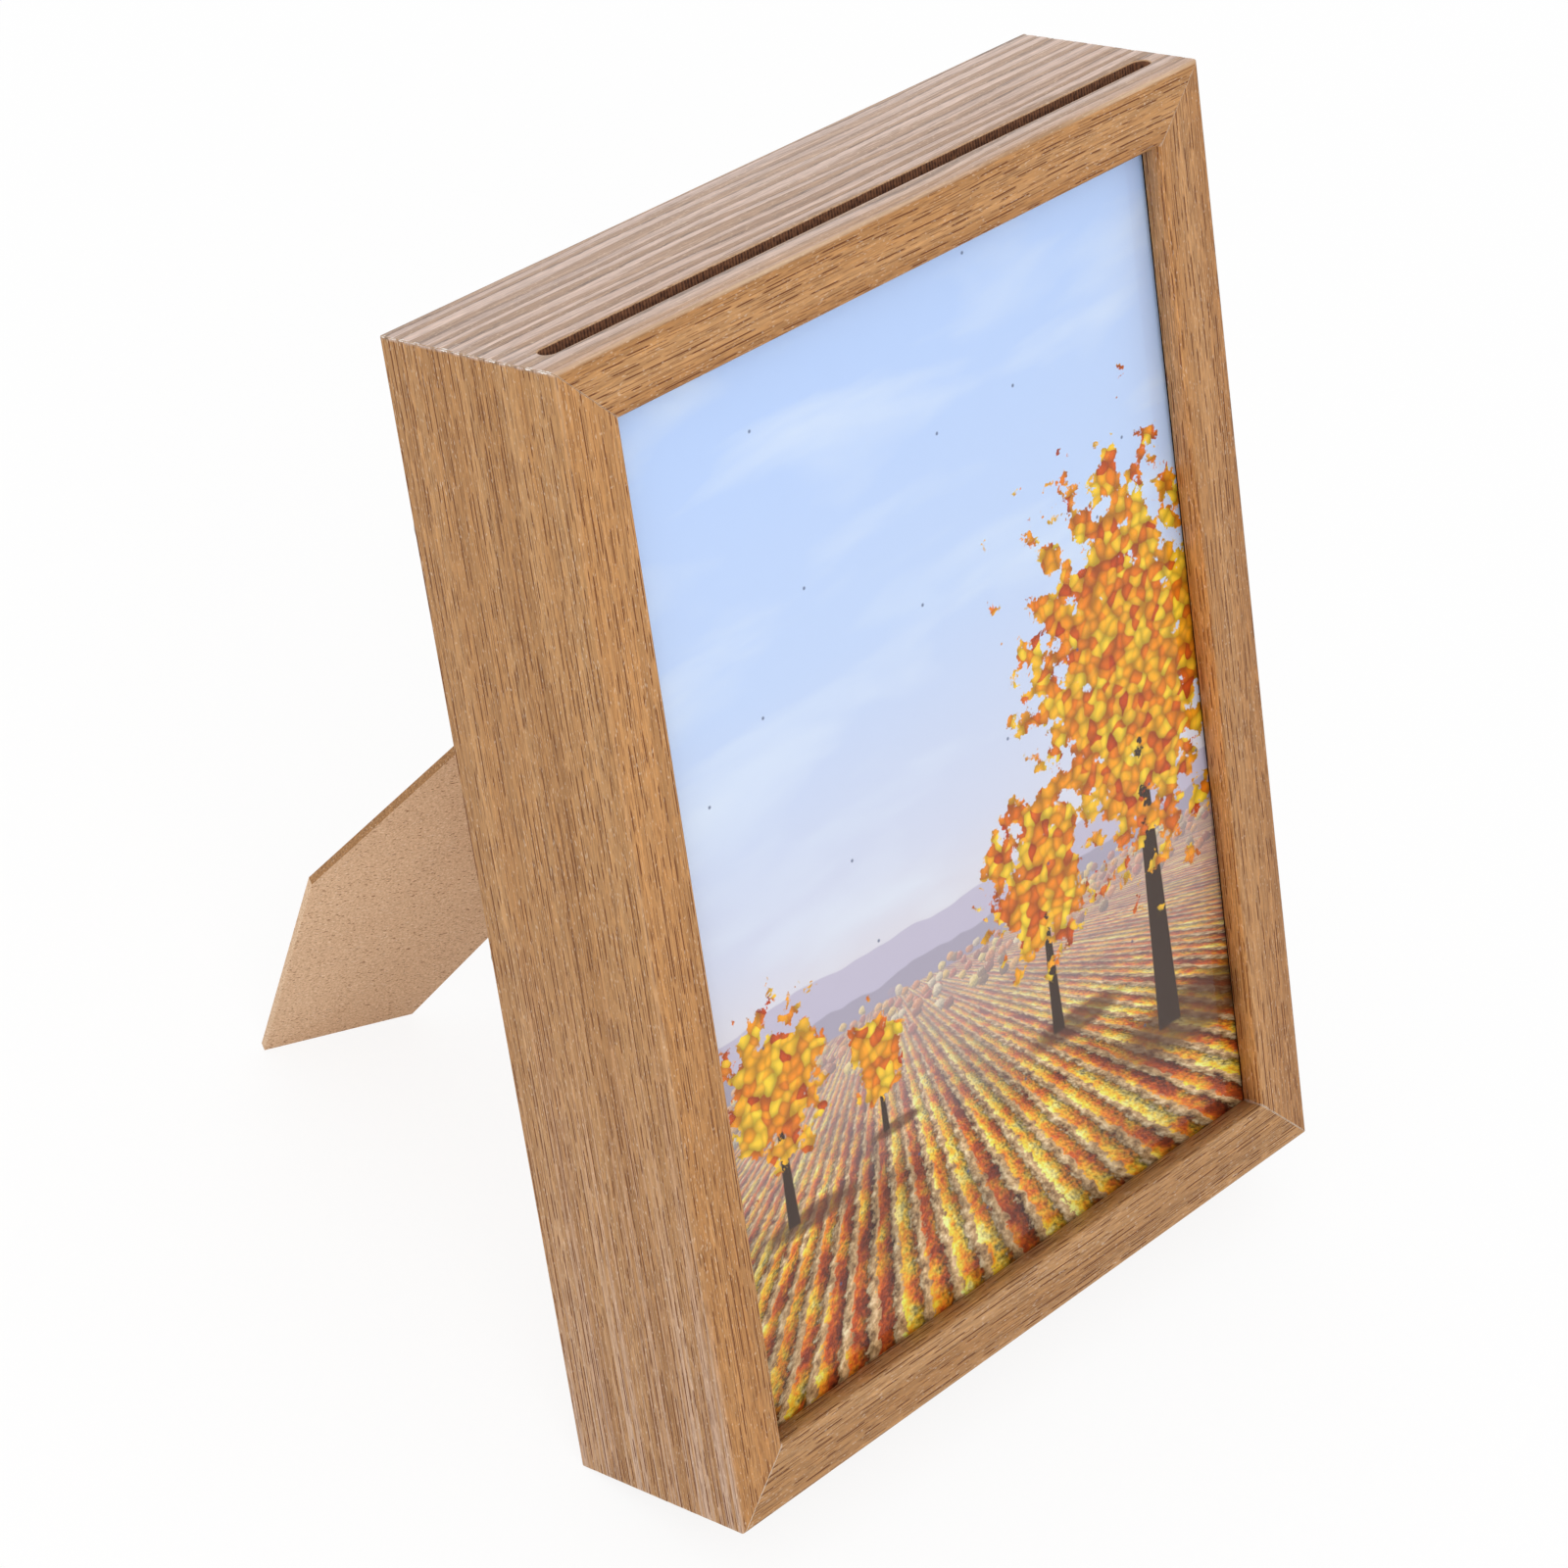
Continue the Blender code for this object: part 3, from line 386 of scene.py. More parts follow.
# Grey pulp card: dull, with darker fibres
cardLook = {"dark": "#7E786F", "light": "#A39C92", "fibreTurn": (0.2, 0.4, 0.1), "fibreScale": (1.6, 1.6, 0.5)}


def pulpCard(name):
    look = cardLook
    material, tree, shader = startMaterial(name, **{"Roughness": 0.9, "IOR": 1.45})
    place = boxPlace(tree)
    laid = addNode(tree, "Mapping", {0: place, "Rotation": look["fibreTurn"], "Scale": look["fibreScale"]})
    fibre = addNode(tree, "TexNoise", {"Vector": laid, "Scale": 1.0, "Detail": 3.0})
    colour = addNode(tree, "ValToRGB", {0: fibre}, [(0.3, look["dark"]), (0.7, look["light"])])
    tree.links.new(colour.outputs[0], shader.inputs["Base Color"])
    return material


# Clear glazing: an almost colourless sheet with a faint polished reflection
glazingLook = {"tint": "#FBFDFD", "roughness": 0.04, "index": 1.23}


def clearSheet(name):
    look = glazingLook
    material = bpy.data.materials.new(name)
    tree = emptyTree(material)
    gloss = addNode(tree, "BsdfGlossy", {"Color": (1, 1, 1, 1), "Roughness": look["roughness"]})
    clear = addNode(tree, "BsdfTransparent", {"Color": linear(look["tint"])})
    # Only the front of the sheet reflects: seen from inside, its rear face would mirror everything
    behind = addNode(tree, "NewGeometry").outputs["Backfacing"]
    front = addNode(tree, "Math", {0: 1.0, 1: behind}, operation="SUBTRACT")
    share = addNode(tree, "Fresnel", {"IOR": look["index"]})
    share = addNode(tree, "Math", {0: share, 1: front}, operation="MULTIPLY")
    sheet = addNode(tree, "MixShader", {0: share, 1: clear, 2: gloss})
    addNode(tree, "OutputMaterial", {"Surface": sheet})
    return material


# Printed photo paper, with a made-up autumn valley: pale sky, far hills, vine rows and trees
printLook = {
    "skyHigh": "#C0D4FF", "skyMid": "#CCD9FA", "skyLow": "#DDDBEE", "haze": "#EBDCDE", "cloud": "#EFF2FD",
    "farHill": "#CCBFD3", "nearHill": "#B3A6B8", "mist": "#D9C4C8", "gapShadow": "#15100F", "dust": "#4B5478",
    "soil": ["#7A4A2A", "#C79A6A", "#F0D6B0"], "vines": ["#7E2A0C", "#C4521A", "#EA8E1E", "#F8C63A", "#FFE48A"],
    "leaves": ["#C8430B", "#EE7F10", "#F9A617", "#FFD233", "#E0620F"],
    "crowns": ["#EFA022", "#CF5A1A", "#F6C63C", "#A8501E", "#F5DFB4", "#E2801E", "#8A6426", "#F2AE42", "#BC4416",
               "#FADB72"],
    "glint": "#FFF0C4", "trunk": "#3D2417", "shade": "#5A2C16",
    # Millimetres from the sheet's lower left corner: the horizon, and the place on it where the rows meet
    "horizon": 72.0, "meet": 50.0, "rows": 9.0,
    # Far hills, near hills and vineyard: height over the horizon, swing, span and shift of their outline
    "ridges": ((4.0, 13.0, 46.0, 3.0), (-2.0, 10.0, 27.0, 40.0), (-5.0, 6.0, 34.0, 0.0)),
    # Belts of far woods: bottom, top, size of a crown, share of places with a crown
    "belts": ((66.0, 72.0, 2.2, 0.8), (62.0, 67.5, 3.0, 0.6)), "beltSquash": 1.2,
    # Trees: middle of the crown, its half sizes, the trunk's foot
    "trees": (((128, 108), (34, 48), 28), ((96, 76), (17, 21), 42), ((19, 68), (16, 18), 38),
              ((46, 61), (9, 10), 45)),
    "poolSquash": 6, "poolShift": 0.3, "cloudWide": 60, "cloudHigh": 16, "speckGap": 33, "gapShadowWide": 0.6,
}


def valleyPrint(name):
    look = printLook
    low, high = limitsAlong(boxTurn.transposed(), "print_sheet")
    low, high = (low - boxLow) / mm, (high - boxLow) / mm
    wide, tall = high.x - low.x, high.z - low.z
    material, tree, shader = startMaterial(name, **{"Roughness": 0.5, "IOR": 1.4})
    spot = addNode(tree, "Mapping", {0: boxPlace(tree), "Location": (-low.x, 0.0, -low.z)})
    axes = addNode(tree, "SeparateXYZ", {0: spot})
    across, up = axes.outputs[0], axes.outputs[2]
    flat = addNode(tree, "CombineXYZ", {0: across, 1: up})
    lengthwise = addNode(tree, "CombineXYZ", {0: across})
    rise = addNode(tree, "Math", {0: up, 1: 1 / tall}, operation="MULTIPLY")
    sky = addNode(tree, "ValToRGB", {0: rise}, [(0.34, look["haze"]), (0.46, look["skyLow"]),
                                                (0.68, look["skyMid"]), (1.0, look["skyHigh"])])
    drift = addNode(tree, "Mapping", {0: flat, "Scale": (1 / look["cloudWide"], 1 / look["cloudHigh"], 1.0)})
    cloud = addNode(tree, "TexNoise", {"Vector": drift, "Scale": 1.0, "Detail": 4.0, "Distortion": 0.4})
    cloud = addNode(tree, "MapRange", {0: cloud, 1: 0.48, 2: 0.72, 3: 0.0, 4: 0.5})
    picture = addNode(tree, "Mix", {0: cloud, 6: sky, 7: linear(look["cloud"])}, data_type="RGBA")
    # Vine rows in perspective: they meet at one point on the horizon, and their leaves shrink with the distance
    drop = addNode(tree, "Math", {0: look["horizon"] + 6.0, 1: up}, operation="SUBTRACT")
    drop = addNode(tree, "Math", {0: drop, 1: 0.5}, operation="MAXIMUM")
    fan = addNode(tree, "Math", {0: across, 1: look["meet"]}, operation="SUBTRACT")
    fan = addNode(tree, "Math", {0: fan, 1: drop}, operation="DIVIDE")
    away = addNode(tree, "Math", {0: drop, 1: math.e}, operation="LOGARITHM")
    ground = addNode(tree, "CombineXYZ", {0: fan, 1: away})
    leafy = addNode(tree, "TexNoise", {"Vector": ground, "Scale": 26.0, "Detail": 4.0, "Roughness": 0.7})
    clump = addNode(tree, "TexNoise", {"Vector": ground, "Scale": 8.0, "Detail": 2.0})
    row = addNode(tree, "Math", {0: fan, 1: look["rows"], 2: leafy}, operation="MULTIPLY_ADD")
    row = addNode(tree, "Math", {0: clump, 1: 0.5, 2: row}, operation="MULTIPLY_ADD")
    number = addNode(tree, "Math", {0: row}, operation="FLOOR")
    chance = addNode(tree, "TexWhiteNoise", {"W": number}, noise_dimensions="1D")
    share = addNode(tree, "Math", {0: row}, operation="FRACT")
    soil = addNode(tree, "ValToRGB", {0: leafy}, [(0.3 + 0.2 * i, c) for i, c in enumerate(look["soil"])])
    # The rows' shadow lies on their right
    gloom = addNode(tree, "MapRange", {0: share, 1: 0.62, 2: 0.9, 3: 0.35, 4: 1.0})
    soil = addNode(tree, "VectorMath", {0: soil, 3: gloom}, operation="SCALE")
    hue = addNode(tree, "Math", {0: chance, 1: 0.3, 2: leafy}, operation="MULTIPLY_ADD")
    hue = addNode(tree, "Math", {0: clump, 1: 1.2, 2: hue}, operation="MULTIPLY_ADD")
    hue = addNode(tree, "MapRange", {0: hue, 1: 0.75, 2: 1.75})
    vines = addNode(tree, "ValToRGB", {0: hue}, [(0.2 + 0.15 * i, c) for i, c in enumerate(look["vines"])])
    sprig = addNode(tree, "TexNoise", {"Vector": ground, "Scale": 75.0, "Detail": 2.0, "Roughness": 0.6})
    lit = addNode(tree, "Math", {0: share, 1: -0.8, 2: sprig}, operation="MULTIPLY_ADD")
    lit = addNode(tree, "MapRange", {0: lit, 1: -0.05, 2: 0.45, 3: 0.12, 4: 1.12})
    vines = addNode(tree, "VectorMath", {0: vines, 3: lit}, operation="SCALE")
    full = addNode(tree, "MapRange", {0: share, 1: 0.66, 2: 0.62})
    fields = addNode(tree, "Mix", {0: full, 6: soil, 7: vines}, data_type="RGBA")
    sun = addNode(tree, "TexNoise", {"Vector": ground, "Scale": 2.2, "Detail": 1.0})
    sun = addNode(tree, "MapRange", {0: sun, 1: 0.35, 2: 0.6, 3: 0.85, 4: 1.3})
    fields = addNode(tree, "VectorMath", {0: fields, 3: sun}, operation="SCALE")
    fields = addNode(tree, "VectorMath", {0: fields, 1: (0.96, 0.92, 0.85)}, operation="MINIMUM")
    distance = addNode(tree, "MapRange", {0: up, 1: 34.0, 2: look["horizon"], 3: 0.0, 4: 0.6})
    fields = addNode(tree, "Mix", {0: distance, 6: fields, 7: linear(look["mist"])}, data_type="RGBA")
    # Two ranges of hills, then the edge of the vineyard
    grounds = (linear(look["farHill"]), linear(look["nearHill"]), fields)
    for (level, swing, span, shift), colour in zip(look["ridges"], grounds):
        ridge = addNode(tree, "Mapping", {0: lengthwise, "Location": (shift, 0, 0), "Scale": (1 / span, 1.0, 1.0)})
        ridge = addNode(tree, "TexNoise", {"Vector": ridge, "Scale": 1.0, "Detail": 3.0})
        ridge = addNode(tree, "Math", {0: ridge, 1: swing, 2: look["horizon"] + level}, operation="MULTIPLY_ADD")
        below = addNode(tree, "Math", {0: ridge, 1: up}, operation="SUBTRACT")
        below = addNode(tree, "MapRange", {0: below, 1: -0.2, 2: 0.2})
        picture = addNode(tree, "Mix", {0: below, 6: picture, 7: colour}, data_type="RGBA")
    # Far woods in two belts: round crowns with lit tops, dark undersides and a leafy grain
    leafSteps = [(i / (len(look["leaves"]) - 1), c) for i, c in enumerate(look["leaves"])]
    crownSteps = [(i / len(look["crowns"]), c) for i, c in enumerate(look["crowns"])]
    hazy = addNode(tree, "MapRange", {0: up, 1: 20.0, 2: look["horizon"], 3: 0.0, 4: 0.5})
    squash = look["beltSquash"]
    for bottom, top, cell, amount in look["belts"]:
        placed = addNode(tree, "Mapping", {0: flat, "Location": (amount * 90, bottom, 0.0),
                                           "Scale": (1.0, squash, 1.0)})
        dotted = addNode(tree, "TexVoronoi", {"Vector": placed, "Scale": 1 / cell, "Randomness": 0.9},
                         voronoi_dimensions="2D")
        pick = addNode(tree, "SeparateColor", {0: dotted.outputs["Color"]})
        middle = addNode(tree, "VectorMath", {0: placed, 1: dotted.outputs["Position"]}, operation="SUBTRACT")
        middle = addNode(tree, "SeparateXYZ", {0: middle})
        leafy = addNode(tree, "TexNoise", {"Vector": flat, "Scale": 5.5 / cell, "Detail": 4.0, "Roughness": 0.75})
        shape = addNode(tree, "Math", {0: leafy, 1: 0.6, 2: dotted.outputs["Distance"]}, operation="MULTIPLY_ADD")
        shape = addNode(tree, "MapRange", {0: shape, 1: 0.83, 2: 0.79})
        grows = addNode(tree, "MapRange", {0: pick.outputs[2], 1: amount, 2: amount - 0.01})
        # Belts begin at whole crowns: the crown's own middle is tested, not the point that is coloured
        seat = addNode(tree, "Math", {0: middle.outputs[1], 1: -1 / squash, 2: up}, operation="MULTIPLY_ADD")
        over = addNode(tree, "MapRange", {0: seat, 1: bottom - 0.05, 2: bottom})
        under = addNode(tree, "MapRange", {0: seat, 1: top, 2: top - 0.05})
        for share in (grows, over, under):
            shape = addNode(tree, "Math", {0: shape, 1: share}, operation="MULTIPLY")
        glow = addNode(tree, "Math", {0: middle.outputs[1], 1: 0.6 / cell, 2: leafy}, operation="MULTIPLY_ADD")
        glow = addNode(tree, "Math", {0: middle.outputs[0], 1: -0.35 / cell, 2: glow}, operation="MULTIPLY_ADD")
        lit = addNode(tree, "MapRange", {0: glow, 1: 0.22, 2: 0.72, 3: 0.16, 4: 1.1})
        crown = addNode(tree, "ValToRGB", {0: pick.outputs[0]}, crownSteps)
        crown.color_ramp.interpolation = "CONSTANT"
        crown = addNode(tree, "VectorMath", {0: crown, 3: lit}, operation="SCALE")
        glint = addNode(tree, "MapRange", {0: glow, 1: 0.66, 2: 0.86, 3: 0.0, 4: 0.6})
        crown = addNode(tree, "Mix", {0: glint, 6: crown, 7: linear(look["glint"])}, data_type="RGBA")
        crown = addNode(tree, "Mix", {0: hazy, 6: crown, 7: linear(look["mist"])}, data_type="RGBA")
        picture = addNode(tree, "Mix", {0: shape, 6: picture, 7: crown}, data_type="RGBA")
    # Leaf clusters in their own small cells, coloured at random and shaded at their rims
    leafSpot = addNode(tree, "TexNoise", {"Vector": flat, "Scale": 0.25, "Detail": 1.0}).outputs[1]
    leafSpot = addNode(tree, "VectorMath", {0: leafSpot, 1: (3.0, 3.0, 0.0)}, operation="MULTIPLY")
    leafSpot = addNode(tree, "VectorMath", {0: leafSpot, 1: flat}, operation="ADD")
    leaf = addNode(tree, "TexVoronoi", {"Vector": leafSpot, "Scale": 0.42}, voronoi_dimensions="2D")
    pick = addNode(tree, "SeparateColor", {0: leaf.outputs["Color"]})
    leaves = addNode(tree, "ValToRGB", {0: pick.outputs[1]}, leafSteps)
    shade = addNode(tree, "MapRange", {0: leaf.outputs["Distance"], 1: 0.15, 2: 0.75, 3: 1.12, 4: 0.55})
    leaves = addNode(tree, "VectorMath", {0: leaves, 3: shade}, operation="SCALE")
    ragged = addNode(tree, "TexNoise", {"Vector": flat, "Scale": 0.16, "Detail": 4.0, "Roughness": 0.62})
    # Each tree is a shadow, a trunk and a ragged round crown
    for (midWide, midHigh), (halfWide, halfHigh), foot in look["trees"]:
        poolHigh = halfHigh / look["poolSquash"]
        poolMiddle = midWide + halfWide * look["poolShift"]
        pool = addNode(tree, "Mapping", {0: flat, "Location": (-poolMiddle / halfWide, -foot / poolHigh, 0.0),
                                         "Scale": (1 / halfWide, 1 / poolHigh, 1.0)})
        pool = addNode(tree, "VectorMath", {0: pool}, operation="LENGTH").outputs[1]
        pool = addNode(tree, "MapRange", {0: pool, 1: 0.95, 2: 0.6, 3: 0.0, 4: 0.75})
        picture = addNode(tree, "Mix", {0: pool, 6: picture, 7: linear(look["shade"])}, data_type="RGBA")
        bole = addNode(tree, "Math", {0: across, 1: midWide}, operation="SUBTRACT")
        bole = addNode(tree, "Math", {0: bole}, operation="ABSOLUTE")
        girth = addNode(tree, "MapRange", {0: up, 1: foot, 2: midHigh, 3: halfWide * 0.10, 4: halfWide * 0.03})
        bole = addNode(tree, "Math", {0: girth, 1: bole}, operation="SUBTRACT")
        bole = addNode(tree, "MapRange", {0: bole, 1: -0.15, 2: 0.15})
        stands = addNode(tree, "MapRange", {0: up, 1: foot - 0.4, 2: foot + 0.4})
        stops = addNode(tree, "MapRange", {0: up, 1: midHigh + 1.0, 2: midHigh})
        bole = addNode(tree, "Math", {0: bole, 1: stands}, operation="MULTIPLY")
        bole = addNode(tree, "Math", {0: bole, 1: stops}, operation="MULTIPLY")
        picture = addNode(tree, "Mix", {0: bole, 6: picture, 7: linear(look["trunk"])}, data_type="RGBA")
        crown = addNode(tree, "Mapping", {0: flat, "Location": (-midWide / halfWide, -midHigh / halfHigh, 0.0),
                                          "Scale": (1 / halfWide, 1 / halfHigh, 1.0)})
        crown = addNode(tree, "VectorMath", {0: crown}, operation="LENGTH").outputs[1]
        crown = addNode(tree, "Math", {0: ragged, 1: 2.6, 2: crown}, operation="MULTIPLY_ADD")
        crown = addNode(tree, "MapRange", {0: crown, 1: 2.12, 2: 2.06})
        picture = addNode(tree, "Mix", {0: crown, 6: picture, 7: leaves}, data_type="RGBA")
    # A few specks of dust caught under the glazing
    speck = addNode(tree, "TexVoronoi", {"Vector": flat, "Scale": 1 / look["speckGap"]}, voronoi_dimensions="2D")
    speck = addNode(tree, "MapRange", {0: speck, 1: 0.014, 2: 0.006, 3: 0.0, 4: 0.8})
    picture = addNode(tree, "Mix", {0: speck, 6: picture, 7: linear(look["dust"])}, data_type="RGBA")
    # Painted shadow: a thin black border round the sheet stands for the shadow gap under the lip, which hides it but
    # for a hairline
    gapShadowMask = insetFrom(tree, axes, ((0, wide), (2, tall)))
    gapShadowMask = addNode(tree, "Math", {0: gapShadowMask[0], 1: gapShadowMask[1]}, operation="MINIMUM")
    gapShadowMask = addNode(tree, "MapRange", {0: gapShadowMask, 1: look["gapShadowWide"] + 0.05, 2: look["gapShadowWide"] - 0.05})
    picture = addNode(tree, "Mix", {0: gapShadowMask, 6: picture, 7: linear(look["gapShadow"])}, data_type="RGBA")
    tree.links.new(picture.outputs[2], shader.inputs["Base Color"])
    return material


# Grain upright or not, seed, sway, tint with painted shade, painted light on the reveal inside the opening, painted
# light and warmth of the front
oakUpright = [oakFoil("oakFoilLeft", True, 1, 0.9, "#FDFCFA", 1.0, (1.07, 1.02, 0.96)),
              oakFoil("oakFoilRight", True, 2, 2.5, "#F9F1E9", 1.4)]
oakLevel = [oakFoil("oakFoilTop", False, 3, 3.5, "#FFFAF5", 1.0),
            oakFoil("oakFoilBottom", False, 4, 4.0, "#F6F5F6", 0.91)]
# Light, dark and fleck colours, amount of flecks
rawBoard = fibreboard("rawFibreboard", "#E2C2A1", "#C6A281", "#845635", 0.85)
railCore = fibreboard("rawRailCore", "#CFA985", "#AF8862", "#6E4A30", 0.6)
sawnBoard = fibreboard("sawnFibreboard", "#B38558", "#8C643F", "#5F3F26", 0.5)
shadedSlotWall = routedWall("shadedRoutedSlotWall")
steel = zincSteel("zincPlatedSteel")
print("materials made")


def looseObject(name, bm):
    bmesh.ops.recalc_face_normals(bm, faces=bm.faces)
    if bm.calc_volume(signed=True) < 0:
        bmesh.ops.reverse_faces(bm, faces=bm.faces)
    mesh = bpy.data.meshes.new(name)
    bm.to_mesh(mesh)
    bm.free()
    loose = bpy.data.objects.new(name, mesh)
    bpy.context.scene.collection.objects.link(loose)
    return loose


def cutAway(bm, cutters):
    solid = looseObject("cutSolid", bm)
    helpers = [looseObject("cutHelper", cutter) for cutter in cutters]
    for helper in helpers:
        step = solid.modifiers.new("cut", "BOOLEAN")
        step.operation = "DIFFERENCE"
        step.solver = "EXACT"
        step.object = helper
    bpy.context.view_layer.update()
    result = bmesh.new()
    result.from_mesh(solid.evaluated_get(bpy.context.evaluated_depsgraph_get()).to_mesh())
    for loose in [solid, *helpers]:
        bpy.data.objects.remove(loose)
    return result


# Angles between faces: under flat they are dissolved, over corner bevelled, over sharp shaded as an edge
angleLimit = {"flat": math.radians(0.5), "corner": math.radians(40), "sharp": math.radians(32)}


def finishPiece(name, bm, materials, body, slotName, *stoodFor):
    mesh = bpy.data.meshes.new(name)
    bm.to_mesh(mesh)
    bm.free()
    mesh.shade_smooth()
    mesh.set_sharp_from_angle(angle=angleLimit["sharp"])
    for material in materials:
        mesh.materials.append(material)
    piece = bpy.data.objects.new(name, mesh)
    bpy.context.scene.collection.objects.link(piece)
    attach(piece, body)
    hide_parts(*stoodFor)


def mergedCopy(name):
    bm = bmesh.new()
    bm.from_mesh(nodes[name].data)
    bmesh.ops.remove_doubles(bm, verts=bm.verts, dist=0.001 * mm)
    bmesh.ops.dissolve_limit(bm, angle_limit=angleLimit["flat"], verts=bm.verts, edges=bm.edges)
    return bm


def railSolid(length):
    size = railSize
    sight = size["wall"] + size["lipOver"]
    rounds = {(0.0, sight): size["sightRound"], (0.0, 0.0): size["frontRound"], (depth, 0.0): size["rearRound"]}
    section = [(size["lipDeep"], size["wall"]), (size["lipDeep"], sight), (0.0, sight), (0.0, 0.0), (depth, 0.0),
               (depth, size["wall"])]
    bm = bmesh.new()
    near = [bm.verts.new((0.0, y, z)) for y, z in section]
    grown = bmesh.ops.extrude_face_region(bm, geom=[bm.faces.new(near)])["geom"]
    far = [part for part in grown if isinstance(part, bmesh.types.BMVert)]
    for vert in near:
        vert.co.x = vert.co.z + size["joint"]
    for vert in far:
        vert.co.x = length - vert.co.z - size["joint"]
    bmesh.ops.recalc_face_normals(bm, faces=bm.faces)
    for (y, z), radius in rounds.items():
        corner = Vector((y, z))
        long = [e for e in bm.edges if all((v.co.yz - corner).length < 0.01 * mm for v in e.verts)]
        bmesh.ops.bevel(bm, geom=long, offset=radius, offset_type="OFFSET", segments=size["roundSteps"],
                        profile=0.5, affect="EDGES", material=-1)
    ends = {e for f in bm.faces if abs(f.normal.x) > 0.5 for e in f.edges}
    bmesh.ops.bevel(bm, geom=list(ends), offset=size["jointEase"], offset_type="OFFSET", segments=1, profile=0.5,
                    affect="EDGES", material=-1)
    return bm


def nailPocket(name, sideTurn):
    bm = mergedCopy(name)
    bm.transform(boxFromWorld)
    bm.normal_update()
    for vert in list(bm.verts):
        vert.co += vert.normal * pocketSize["clear"]
        if vert.co.y > depth - pocketSize["cutPast"]:
            vert.co.y = depth + pocketSize["cutPast"]
    bm.transform(sideTurn.inverted())
    return bm


def sideMatrix(origin, along, inward):
    turn = Matrix((Vector(along), Vector((0, 1, 0)), Vector(inward))).transposed()
    return Matrix.Translation(origin) @ turn.to_4x4()


railSides = {
    "bottomRail": (sideMatrix((0, 0, 0), (1, 0, 0), (0, 0, 1)), width, oakLevel[1], ("bottom_left", "bottom_right")),
    "topRail": (sideMatrix((0, 0, height), (1, 0, 0), (0, 0, -1)), width, oakLevel[0], ("top_left", "top_right")),
    "leftStile": (sideMatrix((0, 0, 0), (0, 0, 1), (1, 0, 0)), height, oakUpright[0], ("bottom_left", "top_left")),
    "rightStile": (sideMatrix((width, 0, 0), (0, 0, 1), (-1, 0, 0)), height, oakUpright[1],
                   ("bottom_right", "top_right")),
}
railStandsFor = {"bottomRail": ("bottom_rail",), "topRail": ("top_rail_front", "top_rail_rear"),
                 "leftStile": ("left_stile",), "rightStile": ("right_stile",)}

slotLow = Vector((slotSize["leftEnd"], slotSize["front"], -slotSize["cutPast"]))
slotHigh = Vector((width - slotSize["rightEnd"], slotSize["front"] + slotSize["wide"],
                   railSize["wall"] + slotSize["cutPast"]))


def slotCutter():
    bm = bmesh.new()
    bmesh.ops.create_cube(bm, size=1.0)
    bmesh.ops.scale(bm, vec=slotHigh - slotLow, verts=bm.verts)
    bmesh.ops.translate(bm, vec=(slotHigh + slotLow) / 2, verts=bm.verts)
    upright = [e for e in bm.edges if abs(e.verts[0].co.z - e.verts[1].co.z) > 1 * mm]
    # Just under half the width, so that the ends come out round and the flats keep a hair
    bmesh.ops.bevel(bm, geom=upright, offset=slotSize["wide"] * 0.499, offset_type="OFFSET",
                    segments=slotSize["endSteps"], profile=0.5, affect="EDGES", material=-1)
    return bm


def besideSlot(spot, spare):
    return (slotLow.x - mm < spot.x < slotHigh.x + mm) and (slotLow.y - spare < spot.y < slotHigh.y + spare)


for name, (sideTurn, length, foil, corners) in railSides.items():
    slotted = name == "topRail"
    cutters = [nailPocket("corner_nail_" + corner, sideTurn) for corner in corners]
    if slotted:
        cutters.append(slotCutter())
    rail = cutAway(railSolid(length), cutters)
    if slotted:
        rim = [e for e in rail.edges if all(abs(v.co.z) < 0.01 * mm and besideSlot(v.co, 0.01 * mm) for v in e.verts)
               and e.is_manifold and e.calc_face_angle() > 1.0]
        bmesh.ops.bevel(rail, geom=rim, offset=slotSize["ease"], offset_type="OFFSET",
                        segments=slotSize["easeSteps"], profile=0.5, affect="EDGES", material=-1)
    rail.normal_update()
    # The foil ends at the mitres, the back and the inside of the wall, where the core shows
    for face in rail.faces:
        middle, way = face.calc_center_median(), face.normal
        inWall = 0.02 * mm < middle.z < railSize["wall"] - 0.02 * mm
        # Slot walls below the eased rim take the slot material, with its painted shade; the rim shows the core
        if slotted and inWall and besideSlot(middle, 0.5 * mm):
            face.material_index = 2 if middle.z > slotSize["ease"] * 1.05 else 1
        elif way.y > 0.7 or abs(way.x) > 0.6 or (way.z > 0.7 and middle.y > railSize["lipDeep"] + 0.1 * mm):
            face.material_index = 1
    rail.transform(worldFromBox @ sideTurn)
    if sideTurn.determinant() < 0:
        bmesh.ops.reverse_faces(rail, faces=rail.faces)
    finishPiece(name, rail, [foil, railCore, shadedSlotWall], "frame", "oak_foil", *railStandsFor[name])
print("rails made")


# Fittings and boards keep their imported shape, with edges eased as pressing and sawing leave them
easeSize = {"strut": 0.18 * mm, "board": 0.15 * mm, "spacer": 0.1 * mm, "button": 0.16 * mm, "screw": 0.06 * mm,
            "hinge": 0.12 * mm, "rivet": 0.1 * mm}


def easedPiece(name, node, body, stuff, ease, steps=2, facing=None, clamp=True):
    slotName, materials = stuff
    bm = mergedCopy(node)
    sharp = [e for e in bm.edges if e.is_manifold and e.is_convex and e.calc_face_angle() > angleLimit["corner"]]
    bmesh.ops.bevel(bm, geom=sharp, offset=ease, offset_type="OFFSET", segments=steps, profile=0.5,
                    affect="EDGES", material=-1, clamp_overlap=clamp)
    bm.normal_update()
    # Of a board's sawn edges, those that look up are darker than its faces
    if facing:
        for face in bm.faces:
            face.material_index = 1 if abs(face.normal.dot(facing)) < 0.9 and face.normal.z > 0.2 else 0
    finishPiece(name, bm, materials, body, slotName, node)


